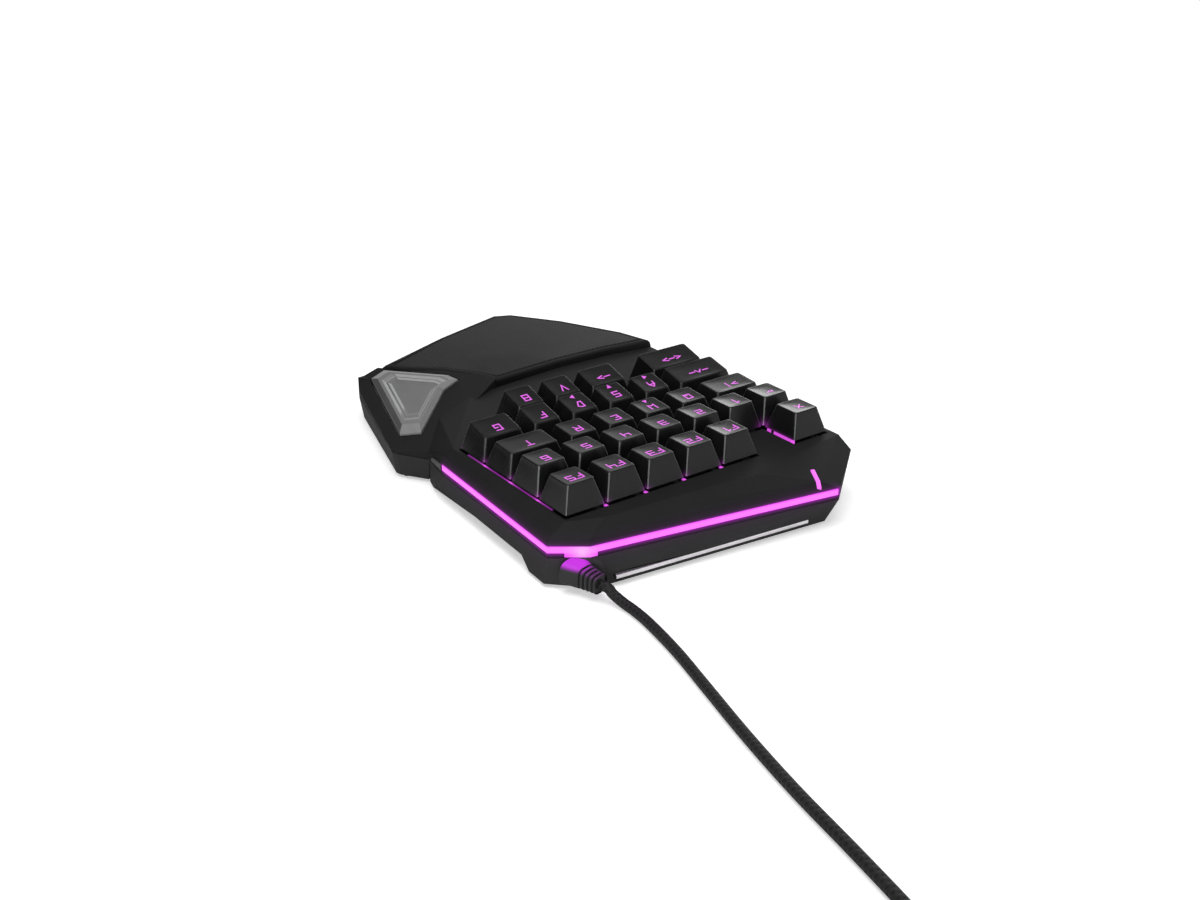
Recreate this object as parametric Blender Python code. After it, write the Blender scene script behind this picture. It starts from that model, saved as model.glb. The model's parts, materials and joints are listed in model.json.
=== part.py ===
"""A left-hand gaming keypad with 29 keys, a thumb key, a wrist rest and a light strip.

The keypad stands on a desk. +X points to the user's right, +Y away from the user, and +Z up.
Lengths are in metres. The layout starts at the key field's back left corner, and one empty
moves every piece so that the middle of the underside's bounding box is the world origin.
"""

import math

import bmesh
import bpy
import numpy as np
from mathutils import Matrix, Vector

# Key field: rows of caps on a common pitch
KEY_PITCH = 0.01905
COLUMNS = 7
ROWS = 5
FIELD_WIDTH = COLUMNS * KEY_PITCH
FIELD_DEPTH = ROWS * KEY_PITCH
FRONT_ROW_SHARE = 5.5

# Each row from the back: cap name, left edge and width in pitches
KEY_ROW_SHARES = (
    (("escape", 0.0, 1.0), ("f1", 2.0, 1.0), ("f2", 3.0, 1.0), ("f3", 4.0, 1.0), ("f4", 5.0, 1.0),
     ("f5", 6.0, 1.0)),
    (("tilde", 0.0, 1.0), ("1", 1.0, 1.0), ("2", 2.0, 1.0), ("3", 3.0, 1.0), ("4", 4.0, 1.0),
     ("5", 5.0, 1.0), ("extra", 6.0, 1.0)),
    (("tab", 0.0, 1.5), ("q", 1.5, 1.0), ("w", 2.5, 1.0), ("e", 3.5, 1.0), ("r", 4.5, 1.0),
     ("t", 5.5, 1.5)),
    (("shift", 0.0, 1.75), ("a", 1.75, 1.0), ("s", 2.75, 1.0), ("d", 3.75, 1.0), ("f", 4.75, 1.0),
     ("g", 5.75, 1.25)),
    (("control", 0.0, 1.75), ("alt", 2.25, 1.25), ("v", 3.5, 1.0), ("b", 4.5, 1.0)),
)
# Steps of the deck's opening round the caps, in pitches from the field's back left corner
WELL_CORNER_SHARES = (
    (0.0, 0.0), (0.0, 5.0), (1.75, 5.0), (1.75, 4.0), (2.25, 4.0), (2.25, 5.0), (5.5, 5.0),
    (5.5, 4.0), (7.0, 4.0), (7.0, 0.0), (2.0, 0.0), (2.0, 1.0), (1.0, 1.0), (1.0, 0.0),
)
SQUARE_SHARES = ((-1.0, -1.0), (1.0, -1.0), (1.0, 1.0), (-1.0, 1.0))

# Heights, each measured from the one below it
FOOT_HEIGHT = 0.0015
FLOOR_THICKNESS = 0.0020
TRAY_DEPTH = 0.0085
STRIP_LIP = 0.0015
STRIP_HEIGHT = 0.0030
RIM_RISE = 0.0034
DECK_RISE = 0.0041
SKIRT_ABOVE_DECK = 0.0010
BASE_Z = FOOT_HEIGHT
TRAY_Z = BASE_Z + FLOOR_THICKNESS
PARTING_Z = TRAY_Z + TRAY_DEPTH
STRIP_Z = PARTING_Z + STRIP_LIP
SHOULDER_Z = STRIP_Z + STRIP_HEIGHT
RIM_Z = SHOULDER_Z + RIM_RISE
DECK_Z = RIM_Z + DECK_RISE
CAP_Z = DECK_Z + SKIRT_ABOVE_DECK

# Walls, clearances and the overrun of cutters
WALL = 0.0020
DECK_THICKNESS = 0.0028
FIT = 0.0003
WELL_FIT = 0.00015
OVERRUN = 0.0020

# Housing seen from above, as runs out from the key field's edges
SIDE_RUN = 0.0098
SIDE_TAPER = 0.0047
STRIP_REACH = 0.0825
CABLE_CORNER_RUN = 0.0020
CABLE_CUT = 0.0030
BACK_RUN = 0.0113
BACK_SKEW = 0.0189
FAR_CUT = 0.0219
TIP_RUN = 0.0025
TIP_BACK = 0.0116
TIP_UNDERCUT_SHARES = (0.75, -0.15)
LEFT_RUN = 0.0055
LEFT_SHOULDER = 0.0150
APRON = 0.0285
APRON_BULGE = 0.0037
APRON_STEP_SHARES = (0.0, 0.3, 0.6, 1.0)
BACK_ROOM_SHARES = (0.12, 0.98)

# The deck's edges and its hinge line with the thumb wing
DECK_LIP = 0.0014
DECK_LEFT_LIP = 0.0025
DECK_FRONT_LIP = 0.0023
DECK_BACK_RUN = 0.0070
DECK_BACK_SKEW = 0.0052
DECK_CABLE_CUT = 0.0128
DECK_FAR_CUT = 0.0510
DECK_TIP_RUN = 0.0038
HINGE_CUT = 0.0332
RIM_SHARES = (0.17, 0.05, 0.23, 0.30, 0.30, 0.30)

# The base's edge against the shoulder above it
UNDERCUT = 0.0040
UNDERCUT_SHARES = (
    (0.4, 0.0), (0.85, 0.4), (0.9, -0.9), (1.0, -0.9), (0.5, 0.0), (0.5, 0.0), (0.4, 0.0),
)
WING_DRAFT_SHARE = 0.4
PALM_DRAFT_SHARE = 0.5
HEEL_CUT = 0.0095
HEEL_RUN = 0.0165
SCOOP_START = 0.0090
SCOOP_END = 0.0925
SCOOP_SLOPE_RUN = 0.0065
SCOOP_DEPTH = 0.0060
SCOOP_RISE = 0.0040

# Thumb wing
WING_SLOPE = math.radians(14.7)
WING_TURN = math.radians(-4.9)
WING_START = 0.0028
WING_WIDTH = 0.0600
WING_LENGTH = 0.0890
WING_THICKNESS = 0.0022
WING_BORDER = 0.0030
WING_TIP_WALL = 0.0011
WING_EDGE_SHARES = (
    (0.85, 0.0), (0.99, 0.144), (1.0, 0.182), (0.721, 0.877), (0.64, 0.988), (0.455, 1.0),
)
PALM_EDGE_SHARES = ((0.37, 0.849), (0.188, 0.644), (0.048, 0.403), (0.003, 0.30))

# Thumb key
THUMB_CORNER_SHARES = (
    (0.583, 0.915), (0.455, 0.931), (0.197, 0.549), (0.188, 0.467), (0.332, 0.446), (0.757, 0.182),
    (0.863, 0.262),
)
THUMB_FIT = 0.0006
THUMB_TRAVEL = 0.0025
THUMB_EDGE_RISE = 0.0004
THUMB_RISE = 0.0020
THUMB_WALL = 0.0014
THUMB_CEILING = 0.0020
THUMB_FLANGE = 0.0011
THUMB_FLANGE_RUN = 0.0011
THUMB_SKIRT_DRAFT = 0.0012
THUMB_PLAIN_EDGE_SHARES = (1.0, 1.0, 0.0, 0.0, 0.0, 0.0, 0.0)
THUMB_TOP_SHARE = 0.82
THUMB_RELIEF_SHARE = 0.66
THUMB_FLOOR_SHARE = 0.60
THUMB_RELIEF = 0.0007

# Post, rubber dome and board under the thumb key, level in the wing's hollow
THUMB_POST_WIDTH = 0.0060
THUMB_POST_CORNER = 0.0010
THUMB_POST_DROP = 0.0055
THUMB_DOME_FOLDED = 0.0019
THUMB_DOME_HEIGHT = THUMB_TRAVEL + THUMB_DOME_FOLDED
THUMB_DOME_FLANGE_RADIUS = 0.0052
THUMB_BOARD_LENGTH = 0.0170
THUMB_BOARD_WIDTH = 0.0120
THUMB_BOARD_CORNER = 0.0010
THUMB_BOSS_RADIUS = 0.0020
THUMB_BOSS_SHARE = 0.34

# Wrist rest
PALM_WIDTH = 0.0875
PALM_DEPTH = 0.0785
PALM_SEAT_RISE = 0.0055
PALM_HEIGHT = 0.0098
PALM_TIP_DROP = 0.0062
PALM_DRAFT = 0.0026
PALM_BEVEL = 0.0008
PALM_SHARES = ((0.0, 0.02), (0.055, 0.248), (0.222, 0.64), (0.405, 0.935), (0.516, 0.99), (0.955, 0.835))
PAD_BORDER = 0.0032
PAD_THICKNESS = 0.0012
PAD_PROUD = 0.0003

# Caps
CAP_GAP = 0.0009
CAP_HEIGHT = 0.0105
CAP_TAPER = 0.00295
CAP_INNER_TAPER_SHARE = 0.8
CAP_CORNER = 0.0012
CAP_BEVEL = 0.0006
CAP_WALL = 0.0013
CAP_CEILING = 0.0020
CAP_DISH = 0.0005
CAP_DISH_RUN = 0.0032
PLUNGER_WIDTH = 0.0066
PLUNGER_CORNER = 0.0008
PLUNGER_REACH = 0.0080
KEY_TRAVEL = 0.0032
ROW_RISES = (0.0, 0.0007, -0.0011, -0.0004, -0.0003)
ROW_TILTS = tuple(math.radians(degrees) for degrees in (0.0, 0.0, -4.0, -13.0, -16.0))
CORNER_STEPS = 2

# Guide plate, rubber domes, circuit and back plate under the caps
GUIDE_THICKNESS = 0.0015
GUIDE_MARGIN = 0.0012
SLEEVE_WALL = 0.0012
SLEEVE_RISE = 0.0040
DOME_SHEET = 0.0007
DOME_RADIUS = 0.0040
DOME_TOP_RADIUS = 0.0022
DOME_SIDES = 8
CIRCUIT_THICKNESS = 0.0005
BACKPLATE_THICKNESS = 0.0010
BOSS_RADIUS = 0.0035
BOSS_SHARES = ((0.08, 0.12), (0.5, 0.12), (0.92, 0.12), (0.08, 0.88), (0.5, 0.88), (0.72, 0.88))

# Light strip, indicator and back trim
STRIP_DEPTH = 0.0023
STRIP_END_LIP = 0.0005
STRIP_TAB_SHARES = (0.40, 0.03)
INDICATOR_RISE = 0.0078
INDICATOR_FALL = 0.0019
INDICATOR_WIDTH = 0.0016
INDICATOR_DEPTH = 0.0014
INDICATOR_PROUD = 0.0002
INDICATOR_TURN = math.radians(25.5)
INDICATOR_PLACE_SHARE = 0.012
TRIM_HEIGHT = 0.0017
TRIM_DEPTH = 0.0014
TRIM_PROUD = 0.0004
TRIM_ABOVE_BASE = 0.0017
TRIM_START_SHARE = 0.012
TRIM_END_SHARE = 0.91

# Controller board behind the key field
BOARD_LENGTH = 0.0620
BOARD_WIDTH = 0.0100
BOARD_THICKNESS = 0.0016
BOARD_CORNER_RUN = 0.0280

# Rubber feet: places as shares of the key field, the wrist rest or the wing, and turns in degrees
FOOT_LENGTH = 0.0160
FOOT_WIDTH = 0.0065
FOOT_CORNER = 0.00275
FOOT_RECESS = 0.0008
FIELD_FOOT_SHARES = (
    ("foot_cable_corner", 0.960, -0.041, 0.0),
    ("foot_back_left", 0.124, -0.105, 40.0),
    ("foot_left", 0.019, 1.154, 90.0),
)
PALM_FOOT_SHARES = (("foot_wrist", 0.566, 0.856, 0.0),)
WING_FOOT_SHARES = (("foot_wing_front", 0.525, 0.910, 0.0), ("foot_wing_side", 0.854, 0.224, 75.0))

# Cable's way out and its strain relief
CABLE_RISE = 0.0050
CABLE_DIRECTION_SHARES = (-0.25, 0.965, -0.03)
CABLE_WALL_SHARE = 0.664
BOOT_ROOT_RADIUS = 0.0028
BOOT_ROOT_REACH = 0.0045
BOOT_NECK_RADIUS = 0.0021
BOOT_NECK_LENGTH = 0.0015
BOOT_FLANGE_RADIUS = 0.0030
BOOT_FLANGE_THICKNESS = 0.0015
BOOT_FLARE_START = -0.0010
BOOT_COLLAR_RADIUS = 0.0039
BOOT_COLLAR_END = 0.0042
BOOT_END_RADIUS = 0.0036
BOOT_RIB_STEP = 0.00165
BOOT_GROOVE_SHARE = 0.3
BOOT_RIB_DEPTH = 0.0007
BOOT_RIBS = 5
RECESS_RADIUS = 0.0050
RECESS_START = -0.0012
ROUND_SIDES = 16

# Free cord on the desk: its thickness, and its route's points as they lie
CORD_RADIUS = 0.0020
CORD_GAP = 0.00055
CORD_REST_SHARE = 1.03
CORD_APART_SHARE = 8.0
LEAD_STEP_SHARE = 5.0
LEAD_SIDES = 8
CURVE_STEPS = 40
LEAD_ROUTE = (
    (0.1310, 0.0262, 0.0020), (0.1300, 0.0318, 0.0003), (0.1298, 0.0380, 0.0), (0.1308, 0.0480, 0.0),
    (0.1345, 0.0680, 0.0), (0.1405, 0.0920, 0.0), (0.1470, 0.1180, 0.0), (0.1530, 0.1460, 0.0),
    (0.1580, 0.1750, 0.0), (0.1630, 0.2020, 0.0),
)

# The length put away as a coil of stacked spirals, with its last stretch laid across the top
COIL_PLACE = (0.1985, 0.2365)
COIL_MIDDLE_RADIUS = 0.0205
COIL_LAYERS = 4
COIL_LAYER_TURNS = 3
COIL_POINTS = 24
COIL_SIDES = 6
COIL_HEADING = math.radians(75.0)
COIL_BEND_RADIUS = 0.0140

# Plug on the cord's end
PLUG_WIDTH = 0.0135
PLUG_HEIGHT = 0.0076
PLUG_LENGTH = 0.0250
PLUG_NECK_LENGTH = 0.0060
PLUG_NECK_WIDTH = 0.0052
PLUG_CHAMFER = 0.0016
PLUG_SHELL_WIDTH = 0.0120
PLUG_SHELL_HEIGHT = 0.0045
PLUG_SHELL_LENGTH = 0.0187
PLUG_SHELL_WALL = 0.0004
PLUG_HOLE = 0.0024
PLUG_HOLE_SHARES = ((0.55, -0.24), (0.55, 0.24))
PLUG_TONGUE_HEIGHT = 0.0018
PLUG_TONGUE_SHARE = 0.93

# Angles and turns below which faces or edges count as one
FLAT_ANGLE = math.radians(0.05)
SMOOTH_ANGLE = math.radians(35.0)
STRAIGHT_SINE = 0.001


def empty_scene():
    """Remove what the file holds, so that the model starts clean."""
    for item in list(bpy.data.objects):
        bpy.data.objects.remove(item, do_unlink=True)


def finish(name, colour, roughness, metallic=0.0, transmission=0.0, glow=0.0):
    """Return a plain material in the piece's own colour."""
    material = bpy.data.materials.new(name)
    material.use_nodes = True
    shader = material.node_tree.nodes["Principled BSDF"]
    shader.inputs["Base Color"].default_value = (*colour, 1.0)
    shader.inputs["Roughness"].default_value = roughness
    shader.inputs["Metallic"].default_value = metallic
    shader.inputs["Transmission Weight"].default_value = transmission
    shader.inputs["Emission Color"].default_value = (*colour, 1.0)
    shader.inputs["Emission Strength"].default_value = glow
    material.diffuse_color = (*colour, 1.0)
    return material


def add_object(name, mesh, parent=None, material=None):
    """Link an object for the mesh and give it its parent and material."""
    item = bpy.data.objects.new(name, mesh)
    bpy.context.scene.collection.objects.link(item)
    item.parent = parent
    if material is not None and not mesh.materials:
        mesh.materials.append(material)
    return item


def faced_mesh(name, points, faces):
    """Return a mesh from points and faces, with its faces turned outwards."""
    mesh = bpy.data.meshes.new(name)
    mesh.from_pydata([tuple(point) for point in points], [], faces)
    shape = bmesh.new()
    shape.from_mesh(mesh)
    bmesh.ops.recalc_face_normals(shape, faces=shape.faces)
    shape.to_mesh(mesh)
    shape.free()
    return mesh


def cap_faces(corners, splits):
    """Return a cap's faces, divided along each pair of corners in splits."""
    faces = []
    rest = list(corners)
    for first, second in splits:
        faces.append(tuple(rest[first:second + 1]))
        rest = rest[:first + 1] + rest[second:]
    return [*faces, tuple(rest)]


def stacked_mesh(name, rings, first_splits=(), last_splits=()):
    """Skin rings of equal count, from the first ring's cap to the last one's.

    The splits hold pairs of corners that share an edge across the first or last cap.
    """
    count = len(rings[0])
    points = [point for ring in rings for point in ring]
    faces = cap_faces(range(count), first_splits)
    for level in range(len(rings) - 1):
        start = level * count
        for corner in range(count):
            after = (corner + 1) % count
            faces.append((start + corner, start + after, start + count + after, start + count + corner))
    faces += cap_faces(range((len(rings) - 1) * count, len(rings) * count), last_splits)
    return faced_mesh(name, points, faces)


def level_ring(outline, height):
    """Lift a plan outline to one height."""
    return [Vector((point[0], point[1], height)) for point in outline]


def prism_mesh(name, outline, low, high):
    """Extrude a plan outline between two heights."""
    return stacked_mesh(name, [level_ring(outline, low), level_ring(outline, high)])


def hull_mesh(name, points):
    """Return the faceted form that wraps the points."""
    shape = bmesh.new()
    corners = [shape.verts.new(point) for point in points]
    wrapped = bmesh.ops.convex_hull(shape, input=corners)
    loose = {item for key in ("geom_interior", "geom_unused") for item in wrapped[key]}
    inner = [item for item in loose if isinstance(item, bmesh.types.BMVert)]
    bmesh.ops.delete(shape, geom=inner, context="VERTS")
    bmesh.ops.dissolve_limit(shape, angle_limit=FLAT_ANGLE, verts=shape.verts, edges=shape.edges)
    bmesh.ops.recalc_face_normals(shape, faces=shape.faces)
    mesh = bpy.data.meshes.new(name)
    shape.to_mesh(mesh)
    shape.free()
    return mesh


def joined_mesh(name, meshes):
    """Put several meshes into one."""
    shape = bmesh.new()
    for mesh in meshes:
        shape.from_mesh(mesh)
    result = bpy.data.meshes.new(name)
    shape.to_mesh(result)
    shape.free()
    return result


def signed_area(outline):
    """Return an outline's area, positive when it runs counter-clockwise."""
    pairs = zip(outline, outline[1:] + outline[:1])
    return sum(a[0] * b[1] - a[1] * b[0] for a, b in pairs) / 2


def drawn_in(outline, insets):
    """Move each edge of a closed outline inwards; insets is one value or one for each edge."""
    points = [Vector((point[0], point[1])) for point in outline]
    count = len(points)
    if not isinstance(insets, (list, tuple)):
        insets = [insets] * count
    turn = 1.0 if signed_area(outline) > 0 else -1.0
    moved = []
    for index, point in enumerate(points):
        before = (point - points[index - 1]).normalized()
        after = (points[(index + 1) % count] - point).normalized()
        in_before = Vector((-before.y, before.x)) * turn
        in_after = Vector((-after.y, after.x)) * turn
        first, second = insets[index - 1], insets[index]
        cross = before.x * after.y - before.y * after.x
        if abs(cross) < STRAIGHT_SINE:
            moved.append(point + in_after * second)
            continue
        gap = in_after * second - in_before * first
        along = (gap.x * after.y - gap.y * after.x) / cross
        moved.append(point + in_before * first + before * along)
    return moved


def combine(target, mesh, operation, parent):
    """Join a form to the target or cut it away, and keep the tool out of the model."""
    tool = add_object(f"tool_{target.name}_{len(target.modifiers)}", mesh, parent)
    tool.hide_render = True
    tool.display_type = "WIRE"
    step = target.modifiers.new(operation.title(), "BOOLEAN")
    step.operation = operation
    step.solver = "EXACT"
    step.object = tool
    return tool


def smooth(mesh):
    """Shade a rounded mesh smooth up to an angle between faces."""
    mesh.shade_smooth()
    mesh.set_sharp_from_angle(angle=SMOOTH_ANGLE)


def rounded_ring(half_x, half_y, corner, height, tilt=0.0):
    """Return a rounded rectangle as a ring, counter-clockwise, tilted about the X direction."""
    points = []
    for quarter, (side_x, side_y) in enumerate(((1, 1), (-1, 1), (-1, -1), (1, -1))):
        for step in range(CORNER_STEPS + 1):
            angle = (quarter + step / CORNER_STEPS) * math.pi / 2
            x = side_x * (half_x - corner) + corner * math.cos(angle)
            y = side_y * (half_y - corner) + corner * math.sin(angle)
            points.append(Vector((x, y, height + math.tan(tilt) * y)))
    return points


def main_corners():
    """Return the main body's corners as plan points: at the shoulder, at the rim and at the deck."""
    deck_back = DECK_BACK_RUN + DECK_BACK_SKEW
    front = -FIELD_DEPTH - APRON
    deck_front = -(ROWS - 1) * KEY_PITCH - DECK_FRONT_LIP
    pairs = [
        ((FIELD_WIDTH + SIDE_RUN, CABLE_CORNER_RUN), (FIELD_WIDTH + DECK_LIP, DECK_LIP)),
        ((FIELD_WIDTH - CABLE_CUT, BACK_RUN), (FIELD_WIDTH - DECK_CABLE_CUT, DECK_BACK_RUN)),
        ((FAR_CUT, BACK_RUN + BACK_SKEW), (DECK_FAR_CUT, deck_back)),
        ((-LEFT_RUN, -LEFT_SHOULDER), (-DECK_LEFT_LIP, -LEFT_SHOULDER)),
        ((-LEFT_RUN, front), (-DECK_LEFT_LIP, front)),
        ((FIELD_WIDTH + SIDE_RUN - SIDE_TAPER, -STRIP_REACH), (FIELD_WIDTH + DECK_LIP, deck_front)),
    ]
    corners = []
    for (shoulder_place, deck_place), share in zip(pairs, RIM_SHARES):
        shoulder, deck = Vector(shoulder_place), Vector(deck_place)
        corners.append((shoulder, shoulder.lerp(deck, share), deck))
    tip = Vector((-TIP_RUN, TIP_BACK))
    tip_shoulder = tip + Vector(TIP_UNDERCUT_SHARES) * UNDERCUT
    corners.insert(3, (tip_shoulder, tip, Vector((-DECK_LEFT_LIP, DECK_TIP_RUN))))
    return corners


def hinge_place():
    """Return the deck's front right corner, where the thumb wing starts to fall."""
    return Vector((FIELD_WIDTH - HINGE_CUT, -FIELD_DEPTH - APRON + DECK_FRONT_LIP))


def wing_place(shares):
    """Return the plan point at the wing box's shares of width and length."""
    left = FIELD_WIDTH + SIDE_RUN - SIDE_TAPER + UNDERCUT + OVERRUN - WING_WIDTH
    return Vector((left + shares[0] * WING_WIDTH, -FIELD_DEPTH - WING_START - shares[1] * WING_LENGTH))


def wing_matrix():
    """Return the frame on the wing's surface: its origin on the hinge line, +Z out of the surface."""
    origin = Vector((*hinge_place(), DECK_Z))
    down_slope = Vector((math.cos(WING_TURN), math.sin(WING_TURN), -math.tan(WING_SLOPE))).normalized()
    across = Vector((-math.sin(WING_TURN), math.cos(WING_TURN), 0.0))
    normal = down_slope.cross(across)
    frame = Matrix((down_slope, across, normal)).transposed().to_4x4()
    frame.translation = origin
    return frame


def wing_height(point):
    """Return the wing surface's height over a plan point."""
    frame = wing_matrix()
    origin, normal = frame.translation, frame.col[2].to_3d()
    fall = normal.x * (point[0] - origin.x) + normal.y * (point[1] - origin.y)
    return origin.z - fall / normal.z


def on_wing(point, depth=0.0):
    """Lift a plan point to the wing's surface, or to a depth straight under it."""
    return Vector((point[0], point[1], wing_height(point) - depth))


def wing_outline():
    """Return the wing's closed outline in plan, from the strip's end round to the wrist rest."""
    return [wing_place(share) for share in WING_EDGE_SHARES + PALM_EDGE_SHARES]


def palm_place(shares):
    """Return the plan point at the wrist rest box's shares of width and depth."""
    front = -FIELD_DEPTH - APRON
    return Vector((-LEFT_RUN + shares[0] * PALM_WIDTH, front - shares[1] * PALM_DEPTH))


def field_place(shares):
    """Return the plan point at the key field's shares of width and depth."""
    return Vector((shares[0] * FIELD_WIDTH, -shares[1] * FIELD_DEPTH))


def front_edge():
    """Return the gently bulging edge between deck and wrist rest, from left to right."""
    front = -FIELD_DEPTH - APRON
    width = wing_place(PALM_EDGE_SHARES[-1]).x + LEFT_RUN
    return [
        Vector((-LEFT_RUN + width * step, front - APRON_BULGE * math.sin(math.pi * step)))
        for step in APRON_STEP_SHARES
    ]


def main_points(low):
    """Return the points that wrap the main body from one height up to the deck."""
    points = []
    for shoulder, rim, deck in main_corners():
        points += [(*shoulder, low), (*shoulder, SHOULDER_Z), (*rim, RIM_Z), (*deck, DECK_Z)]
    hinge = hinge_place()
    wing_start = wing_place(WING_EDGE_SHARES[0])
    saddle = hinge.lerp(wing_start, 0.5) - Vector((0.0, KEY_PITCH / 2))
    points += [(*hinge, DECK_Z), (*wing_start, low), tuple(on_wing(wing_start)), (*hinge, low)]
    points += [(*saddle, low), tuple(on_wing(saddle))]
    for place in front_edge()[1:]:
        points += [(*place, low), (*place, DECK_Z)]
    return points


def seat_outline():
    """Return the wrist rest's seat in plan, a little under the deck and the wing."""
    free = [palm_place(share) for share in PALM_SHARES]
    wing_tip = wing_place(WING_EDGE_SHARES[4])
    inside_wing = wing_place(PALM_EDGE_SHARES[1]) + Vector((KEY_PITCH / 2, 0.0))
    back = -FIELD_DEPTH - APRON + OVERRUN * 2
    return [Vector((-LEFT_RUN, back)), *free, wing_tip, inside_wing, Vector((inside_wing.x, back))]


def guide_outline(margin=GUIDE_MARGIN):
    """Return the outline of the plates under the caps, cut off at the front right corner."""
    right = FIELD_WIDTH + margin
    front = -FIELD_DEPTH - margin
    return [
        Vector((-margin, margin)),
        Vector((-margin, front)),
        Vector((FRONT_ROW_SHARE * KEY_PITCH + margin, front)),
        Vector((right, -(ROWS - 1) * KEY_PITCH - margin)),
        Vector((right, margin)),
    ]


def back_room_outline():
    """Return the hollow behind the key field, inside the back wall."""
    inner = drawn_in([corner[0] for corner in main_corners()], STRIP_DEPTH + FIT + WALL)
    start, end = (inner[1].lerp(inner[2], share) for share in BACK_ROOM_SHARES)
    return [Vector((start.x, -KEY_PITCH / 2)), start, end, Vector((end.x, -KEY_PITCH / 2))]


def cap_cells():
    """Yield each cap's name, row, centre in plan and width."""
    for row, keys in enumerate(KEY_ROW_SHARES):
        for name, left, width in keys:
            centre = Vector(((left + width / 2) * KEY_PITCH, -(row + 0.5) * KEY_PITCH))
            yield f"key_{name}", row, centre, width * KEY_PITCH


def cap_mesh(name, row, width):
    """Return a hollow cap with a dished top and its plunger, standing on z = 0."""
    half_x = (width - CAP_GAP) / 2
    half_y = (KEY_PITCH - CAP_GAP) / 2
    top = CAP_HEIGHT + ROW_RISES[row]
    tilt = ROW_TILTS[row]
    ceiling = top - CAP_CEILING - math.tan(abs(tilt)) * (half_y - CAP_TAPER)
    post = PLUNGER_WIDTH / 2
    face_x, face_y = half_x - CAP_TAPER, half_y - CAP_TAPER
    in_x, in_y = half_x - CAP_WALL, half_y - CAP_WALL
    inner_taper = CAP_TAPER * CAP_INNER_TAPER_SHARE
    bevel_run = CAP_BEVEL * CAP_TAPER / CAP_HEIGHT
    dish_x, dish_y = face_x - CAP_DISH_RUN, face_y - CAP_DISH_RUN
    rings = [
        rounded_ring(post, post, PLUNGER_CORNER, -PLUNGER_REACH),
        rounded_ring(post, post, PLUNGER_CORNER, ceiling),
        rounded_ring(in_x - inner_taper, in_y - inner_taper, PLUNGER_CORNER, ceiling),
        rounded_ring(in_x, in_y, PLUNGER_CORNER, 0.0),
        rounded_ring(half_x, half_y, CAP_CORNER, 0.0),
        rounded_ring(face_x + bevel_run, face_y + bevel_run, CAP_CORNER, top - CAP_BEVEL, tilt),
        rounded_ring(face_x - CAP_BEVEL, face_y - CAP_BEVEL, CAP_CORNER, top, tilt),
        rounded_ring(dish_x, dish_y, CAP_CORNER, top - CAP_DISH, tilt),
    ]
    mesh = stacked_mesh(name, rings)
    smooth(mesh)
    return mesh


def build_caps(parent, material):
    """Place one cap on each cell of the field; equal caps share a mesh."""
    meshes = {}
    for name, row, centre, width in cap_cells():
        kind = (row, round(width / KEY_PITCH, 2))
        if kind not in meshes:
            meshes[kind] = cap_mesh(f"cap_row_{row}_{kind[1]}", row, width)
        cap = add_object(name, meshes[kind], parent, material)
        cap.location = (centre.x, centre.y, CAP_Z)


def build_top_housing(parent, material):
    """Model the upper shell: faceted deck, thumb wing, wrist rest seat and key opening."""
    form = hull_mesh("housing_top", main_points(PARTING_Z))
    housing = add_object("housing_top", form, parent, material)
    wing = wing_outline()
    wing_rings = [level_ring(wing, PARTING_Z), [on_wing(point) for point in wing]]
    seat_z = PARTING_Z + PALM_SEAT_RISE
    for mesh in (
        stacked_mesh("wing_form", wing_rings),
        prism_mesh("seat_form", seat_outline(), PARTING_Z, seat_z),
    ):
        combine(housing, mesh, "UNION", parent)

    low = PARTING_Z - OVERRUN
    ceiling = DECK_Z - DECK_THICKNESS
    for mesh in (
        prism_mesh("field_room", guide_outline(GUIDE_MARGIN + FIT), low, ceiling),
        prism_mesh("back_room", back_room_outline(), low, RIM_Z - WALL),
        stacked_mesh("wing_room", wing_room_rings(low)),
        prism_mesh("palm_room", palm_room_outline(), low, seat_z - WALL),
        prism_mesh("well", well_outline(), ceiling - OVERRUN, DECK_Z + OVERRUN),
        thumb_opening_mesh(),
        strip_mesh("strip_groove", FIT),
        strip_tab_mesh("tab_groove", FIT),
        indicator_mesh("indicator_groove", FIT, OVERRUN),
        cable_bore_mesh(),
    ):
        combine(housing, mesh, "DIFFERENCE", parent)


def well_outline():
    """Return the stepped opening round the caps."""
    corners = [Vector((x * KEY_PITCH, -y * KEY_PITCH)) for x, y in WELL_CORNER_SHARES]
    return drawn_in(corners, -WELL_FIT)


def wing_room_rings(low):
    """Return the hollow under the thumb wing as rings from a height up to the wing's underside."""
    inner = wing_room_outline(WING_TIP_WALL)
    return [level_ring(inner, low), [on_wing(point, WING_THICKNESS) for point in inner]]


def wing_room_outline(tip_wall):
    """Return the outline of the hollow under the thumb wing, with the wall's thickness at its tip."""
    outer = [WING_BORDER] * (len(WING_EDGE_SHARES) - 1)
    inner = [THUMB_FLANGE_RUN] * len(PALM_EDGE_SHARES)
    return drawn_in(wing_outline(), [*outer, tip_wall, *inner])


def palm_room_outline():
    """Return the hollow under the wrist rest."""
    free = [palm_place(share) for share in PALM_SHARES]
    edge = [wing_place(share) for share in PALM_EDGE_SHARES]
    front = Vector((-LEFT_RUN, -FIELD_DEPTH - APRON - APRON_BULGE))
    return drawn_in([front, *free[1:], *edge], WALL + WALL / 2)


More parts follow.
